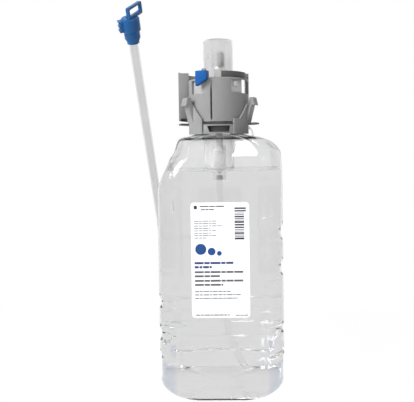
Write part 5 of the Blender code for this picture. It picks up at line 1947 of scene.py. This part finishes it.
        def section_at(share: float) -> Profile:
            """The key's section at a share of the way round."""
            low = rest - self.key_drop + self.key_slant * share
            return [(inner, rest), (face, rest), (face, low), (outer, low), (outer, self.key_top_z),
                    (inner, self.key_top_z)]

        key = curved_bar("key_body", section_at, (self.key_deg - half, self.key_deg + half), 16)
        reach = math.degrees((self.tab_width / 2 + self.gap) / self.radius)
        slot = sector(
            "slot", (inner - 1.0 * MM, face - 0.15 * MM), (rest - 1.0 * MM, self.key_top_z + 1.0 * MM),
            (self.key_deg - reach, self.key_deg + reach), 4,
        )
        combine(key, [(Cut.CARVE, slot)])
        soften(key, 0.5 * MM, 3)
        return key

    def build(self) -> None:
        """Makes and hands over the collar's pieces."""
        self.hand_over(self.build_ring(), "grey_collar", Slot.GREY, "latch_ring")
        self.hand_over(self.build_plate(), "dark_grey_plate", Slot.DARK_GREY, "flange_plate")
        self.hand_over(self.build_wall(), "grey_collar", Slot.GREY, "collar")
        self.hand_over(self.build_chassis(), "light_grey_frame", Slot.LIGHT_GREY, "pump_chassis")
        # The crown bar's dark grey is painted shade on the chassis' light grey.
        self.hand_over(self.build_crown(), "painted_shade_grey", Slot.LIGHT_GREY)
        # The panel's pale grey is painted light over the frame's own grey.
        self.hand_over(self.build_panel(), "painted_light_panel", Slot.LIGHT_GREY)
        # A dark sheet of painted shade in the latch ring's opening.
        self.hand_over(self.build_shade_liner(), "painted_shade_grey", Slot.GREY)
        self.hand_over(self.build_shroud(), "grey_collar", Slot.GREY, "collar_shroud")
        self.hand_over(self.build_key(), "blue_key", Slot.BLUE, "lock_key")


@dataclass
class DeliveryLine(Assembly):
    """The long translucent tube and the blue nozzle on its end."""

    palette: Palette
    route: TubeRoute
    grip: float = 6.2 * MM
    gap: float = 0.3 * MM
    socket_radius: float = 5.5 * MM
    socket_length: float = 8.0 * MM
    body_radius: float = 6.5 * MM
    body_length: float = 10.2 * MM
    lip_radius: float = 4.3 * MM
    lip_length: float = 1.4 * MM
    taper: float = 3.8 * MM
    outlet_radius: float = 2.6 * MM
    turn_deg: float = 68.0
    loop_size: tuple = (18.2 * MM, 7.6 * MM)
    loop_bar: float = 1.6 * MM
    loop_thickness: float = 2.3 * MM
    loop_corner: float = 1.2 * MM
    loop_shift: float = 4.0 * MM
    loop_offset: float = 2.0 * MM
    fin_count: int = 3
    fin_turn_deg: float = -48.0
    fin_core: float = 7.5 * MM
    fin_tip: float = 8.4 * MM
    fin_width: float = 6.4 * MM
    fin_thickness: float = 1.4 * MM
    fin_pitch: float = 3.0 * MM
    fin_drop: float = 2.8 * MM

    def slab(self, name: str, half: float, corner: float, span: tuple, thickness: float) -> bpy.types.Object:
        """An upright rounded slab on the loop's centre line, in the nozzle's own frame.

        Args:
            name: Its name.
            half: Half its width.
            corner: Its corners' radius.
            span: Its lowest and highest level above the body's top.
            thickness: Its thickness.

        Returns:
            The slab.
        """
        top = self.socket_length + self.body_length
        middle, half_height = top + (span[0] + span[1]) / 2, (span[1] - span[0]) / 2
        place = Matrix.Translation((self.loop_shift, thickness / 2 - self.loop_offset, middle))
        place @= Matrix.Rotation(math.radians(90.0), 4, "X")
        return extruded(name, rounded_rectangle(half, half_height, corner), 0.0, thickness, place)

    def build_nozzle(self, route: Sequence[Vector]) -> bpy.types.Object:
        """The nozzle: socket, body, pull loop and grip fins, moulded as one.

        Args:
            route: The tube's centreline.

        Returns:
            The nozzle.
        """
        shoulder, top = self.socket_length, self.socket_length + self.body_length
        socket, wide = self.route.radius + self.gap, self.socket_radius
        nozzle = lathe(
            "nozzle_body",
            [
                (socket, 0.0), (self.lip_radius, 0.0), (self.lip_radius, self.lip_length),
                (wide, self.taper), (wide, shoulder), (self.body_radius, shoulder + 1.0 * MM),
                (self.body_radius, top - 1.0 * MM), (self.body_radius - 1.0 * MM, top),
                (self.outlet_radius, top), (self.outlet_radius, self.grip + self.gap),
                (socket, self.grip + self.gap),
            ],
            0.0, 64,
        )
        width, height = self.loop_size
        root = 0.8 * MM
        loop = self.slab("loop", width / 2, self.loop_corner, (-root, height), self.loop_thickness)
        steps = [(Cut.FUSE, loop)]
        turn = Matrix.Rotation(math.radians(self.fin_turn_deg), 4, "Z")
        half = self.fin_width / 2
        for i in range(self.fin_count):
            low = top - self.fin_drop - self.fin_pitch * i
            outline = [(-self.fin_tip, -half), (-self.body_radius * 0.75, -half),
                       (-self.body_radius * 0.75, half), (-self.fin_tip, half)]
            steps.append((Cut.FUSE, extruded(f"fin_{i + 1}", outline, low, low + self.fin_thickness, turn)))
        core = [(-self.fin_core, 0.2 * MM - half), (-self.body_radius * 0.7, 0.2 * MM - half),
                (-self.body_radius * 0.7, half - 0.2 * MM), (-self.fin_core, half - 0.2 * MM)]
        low = top - self.fin_drop - self.fin_pitch * (self.fin_count - 1)
        high = top - self.fin_drop + 0.9 * MM
        steps.append((Cut.FUSE, extruded("fin_core", core, low + 0.3 * MM, high, turn)))
        hole = self.slab("loop_hole", width / 2 - self.loop_bar, self.loop_corner * 0.7,
                         (self.loop_bar, height - self.loop_bar), self.loop_thickness * 2)
        steps.append((Cut.CARVE, hole))
        combine(nozzle, steps)
        soften(nozzle, 0.35 * MM, 3)
        way = (route[-1] - route[-2]).normalized()
        right = Vector((1.0, 0.0, 0.0))
        right = (right - way * right.dot(way)).normalized()
        turn_rad = math.radians(self.turn_deg)
        bar = right * math.cos(turn_rad) + way.cross(right) * math.sin(turn_rad)
        basis = Matrix((bar, way.cross(bar), way)).transposed().to_4x4()
        basis.translation = route[-1] - way * self.grip
        nozzle.data.transform(basis)
        return nozzle

    def build(self) -> None:
        """Makes and hands over the tube and the nozzle."""
        route = self.route.points()
        tube = pipe("delivery_pipe", route, self.route.radius, self.route.bore, 40)
        self.hand_over(tube, "milky_tube", Slot.NATURAL, "delivery_tube")
        self.hand_over(self.build_nozzle(route), "blue_gloss", Slot.BLUE, "nozzle")


@dataclass(frozen=True)
class Lamp:
    """A soft rectangular lamp: its place, what it points at, its width and height, and its watts."""

    name: str
    place: tuple
    aim: tuple
    size: tuple
    power: float
    mirrored: bool = True

    def build(self) -> None:
        """Puts the lamp into the scene."""
        data = bpy.data.lights.new(self.name, "AREA")
        data.shape = "RECTANGLE"
        data.size, data.size_y = self.size
        data.energy = self.power
        lamp = bpy.data.objects.new(self.name, data)
        lamp.location = self.place
        lamp.visible_glossy = self.mirrored
        lamp.rotation_mode = "QUATERNION"
        lamp.rotation_quaternion = (Vector(self.aim) - Vector(self.place)).to_track_quat("-Z", "Y")
        bpy.context.scene.collection.objects.link(lamp)


@dataclass
class Studio:
    """The camera, the lamps, the white surroundings and the floor."""

    eye: tuple = (0.0, -0.49324, 0.19527)
    focal_px: float = 591.4
    axis_px: tuple = (219.58, 147.15)
    pitch_deg: float = 1.92
    roll_rad: float = 0.0148
    sensor_mm: float = 36.0
    ambient: float = 0.22
    floor_size: float = 3.0
    floor_fade: tuple = (("From Min", 0.05), ("From Max", 0.35), ("To Min", 0.88), ("To Max", 1.0))
    lamps: tuple = (
        Lamp("key", (-1.1, -0.9, 1.0), (0.0, 0.0, 0.15), (0.9, 0.9), 36.0, False),
        Lamp("strip", (0.085, -0.30, 1.15), (0.085, -0.30, 0.0), (0.09, 1.9), 6.0),
        Lamp("glint", (-0.85, -0.55, 0.62), (0.0, 0.0, 0.16), (0.05, 0.16), 0.10),
    )

    def camera(self) -> None:
        """Places the camera where the photograph was taken from."""
        data = bpy.data.cameras.new("portrait")
        data.sensor_width = self.sensor_mm
        data.lens = self.focal_px / IMAGE_WIDTH_PX * self.sensor_mm
        pitch = math.radians(self.pitch_deg)
        right_of_centre = self.axis_px[0] - IMAGE_WIDTH_PX / 2
        yaw = math.atan(right_of_centre / self.focal_px)
        above_centre = IMAGE_HEIGHT_PX / 2 - self.axis_px[1]
        data.shift_y = -(above_centre - self.focal_px * math.tan(pitch)) / IMAGE_WIDTH_PX
        ahead = Vector((-math.sin(yaw) * math.cos(pitch), math.cos(yaw) * math.cos(pitch), -math.sin(pitch)))
        right = ahead.cross(Vector((0.0, 0.0, 1.0))).normalized()
        up = right.cross(ahead)
        cos, sin = math.cos(self.roll_rad), math.sin(self.roll_rad)
        right, up = right * cos - up * sin, up * cos + right * sin
        stand = Matrix((right, up, -ahead)).transposed().to_4x4()
        stand.translation = Vector(self.eye)
        camera = bpy.data.objects.new("portrait", data)
        camera.matrix_world = stand
        bpy.context.scene.collection.objects.link(camera)
        bpy.context.scene.camera = camera

    @staticmethod
    def seen_rays(nodes: Nodes) -> bpy.types.NodeSocket:
        """A mask of the rays that see the white surroundings: the camera's, and those in gloss and glass.

        Args:
            nodes: The nodes of the material or the world.

        Returns:
            The mask.
        """
        path = nodes.add("ShaderNodeLightPath")
        seen = nodes.maths("MAXIMUM", path.outputs["Is Camera Ray"], path.outputs["Is Glossy Ray"])
        return nodes.maths("MAXIMUM", seen, path.outputs["Is Transmission Ray"])

    def surroundings(self) -> None:
        """White behind the object and in its gloss, and a soft even light on it."""
        world = bpy.data.worlds.new("studio")
        world.use_nodes = True
        bpy.context.scene.world = world
        nodes = Nodes(world.node_tree)
        ground = world.node_tree.nodes["Background"]
        seen = self.seen_rays(nodes)
        lift = nodes.maths("MULTIPLY", seen, 1.0 - self.ambient)
        nodes.join(nodes.maths("ADD", lift, self.ambient), ground.inputs["Strength"])
        ground.inputs["Color"].default_value = (1.0, 1.0, 1.0, 1.0)

    def floor(self) -> None:
        """A pale floor that keeps a faint shadow and fades into the surroundings."""
        mesh = bpy.data.meshes.new("studio_floor")
        half = self.floor_size
        level = -0.2 * MM
        mesh.from_pydata(
            [(-half, -half, level), (half, -half, level), (half, half, level), (-half, half, level)],
            [], [(0, 1, 2, 3)],
        )
        plane = bpy.data.objects.new("studio_floor", mesh)
        bpy.context.scene.collection.objects.link(plane)
        made, nodes, shader = fresh_material("pale_floor")
        shader.inputs["Base Color"].default_value = (0.90, 0.90, 0.90, 1.0)
        shader.inputs["Roughness"].default_value = 0.8
        glow = nodes.add("ShaderNodeEmission")
        seen = self.seen_rays(nodes)
        place = nodes.add("ShaderNodeTexCoord")
        reach = nodes.add("ShaderNodeVectorMath", operation="LENGTH")
        nodes.join(place.outputs["Object"], reach.inputs[0])
        fade = nodes.add("ShaderNodeMapRange", interpolation_type="SMOOTHSTEP")
        nodes.join(reach.outputs["Value"], fade.inputs["Value"])
        for socket, value in self.floor_fade:
            fade.inputs[socket].default_value = value
        either = nodes.add("ShaderNodeMixShader")
        nodes.join(nodes.maths("MULTIPLY", seen, fade.outputs["Result"]), either.inputs[0])
        nodes.join(shader.outputs[0], either.inputs[1])
        nodes.join(glow.outputs[0], either.inputs[2])
        nodes.join(either.outputs[0], made.node_tree.nodes["Material Output"].inputs["Surface"])
        mesh.materials.append(made)

    def build(self) -> None:
        """Sets the studio up."""
        bpy.context.scene.view_settings.view_transform = "Standard"
        self.camera()
        self.surroundings()
        self.floor()
        for lamp in self.lamps:
            lamp.build()


def main() -> None:
    """Builds the studio and the pack, piece by piece."""
    logging.basicConfig(level=logging.INFO, format="%(name)s: %(message)s")
    Studio().build()
    palette = Palette()
    route = TubeRoute()
    for part in (
        BottleBody(palette, route),
        FrontLabel(palette),
        FoamPump(palette),
        LockingCollar(palette),
        DeliveryLine(palette, route),
    ):
        part.build()


if __name__ == "__main__":
    main()
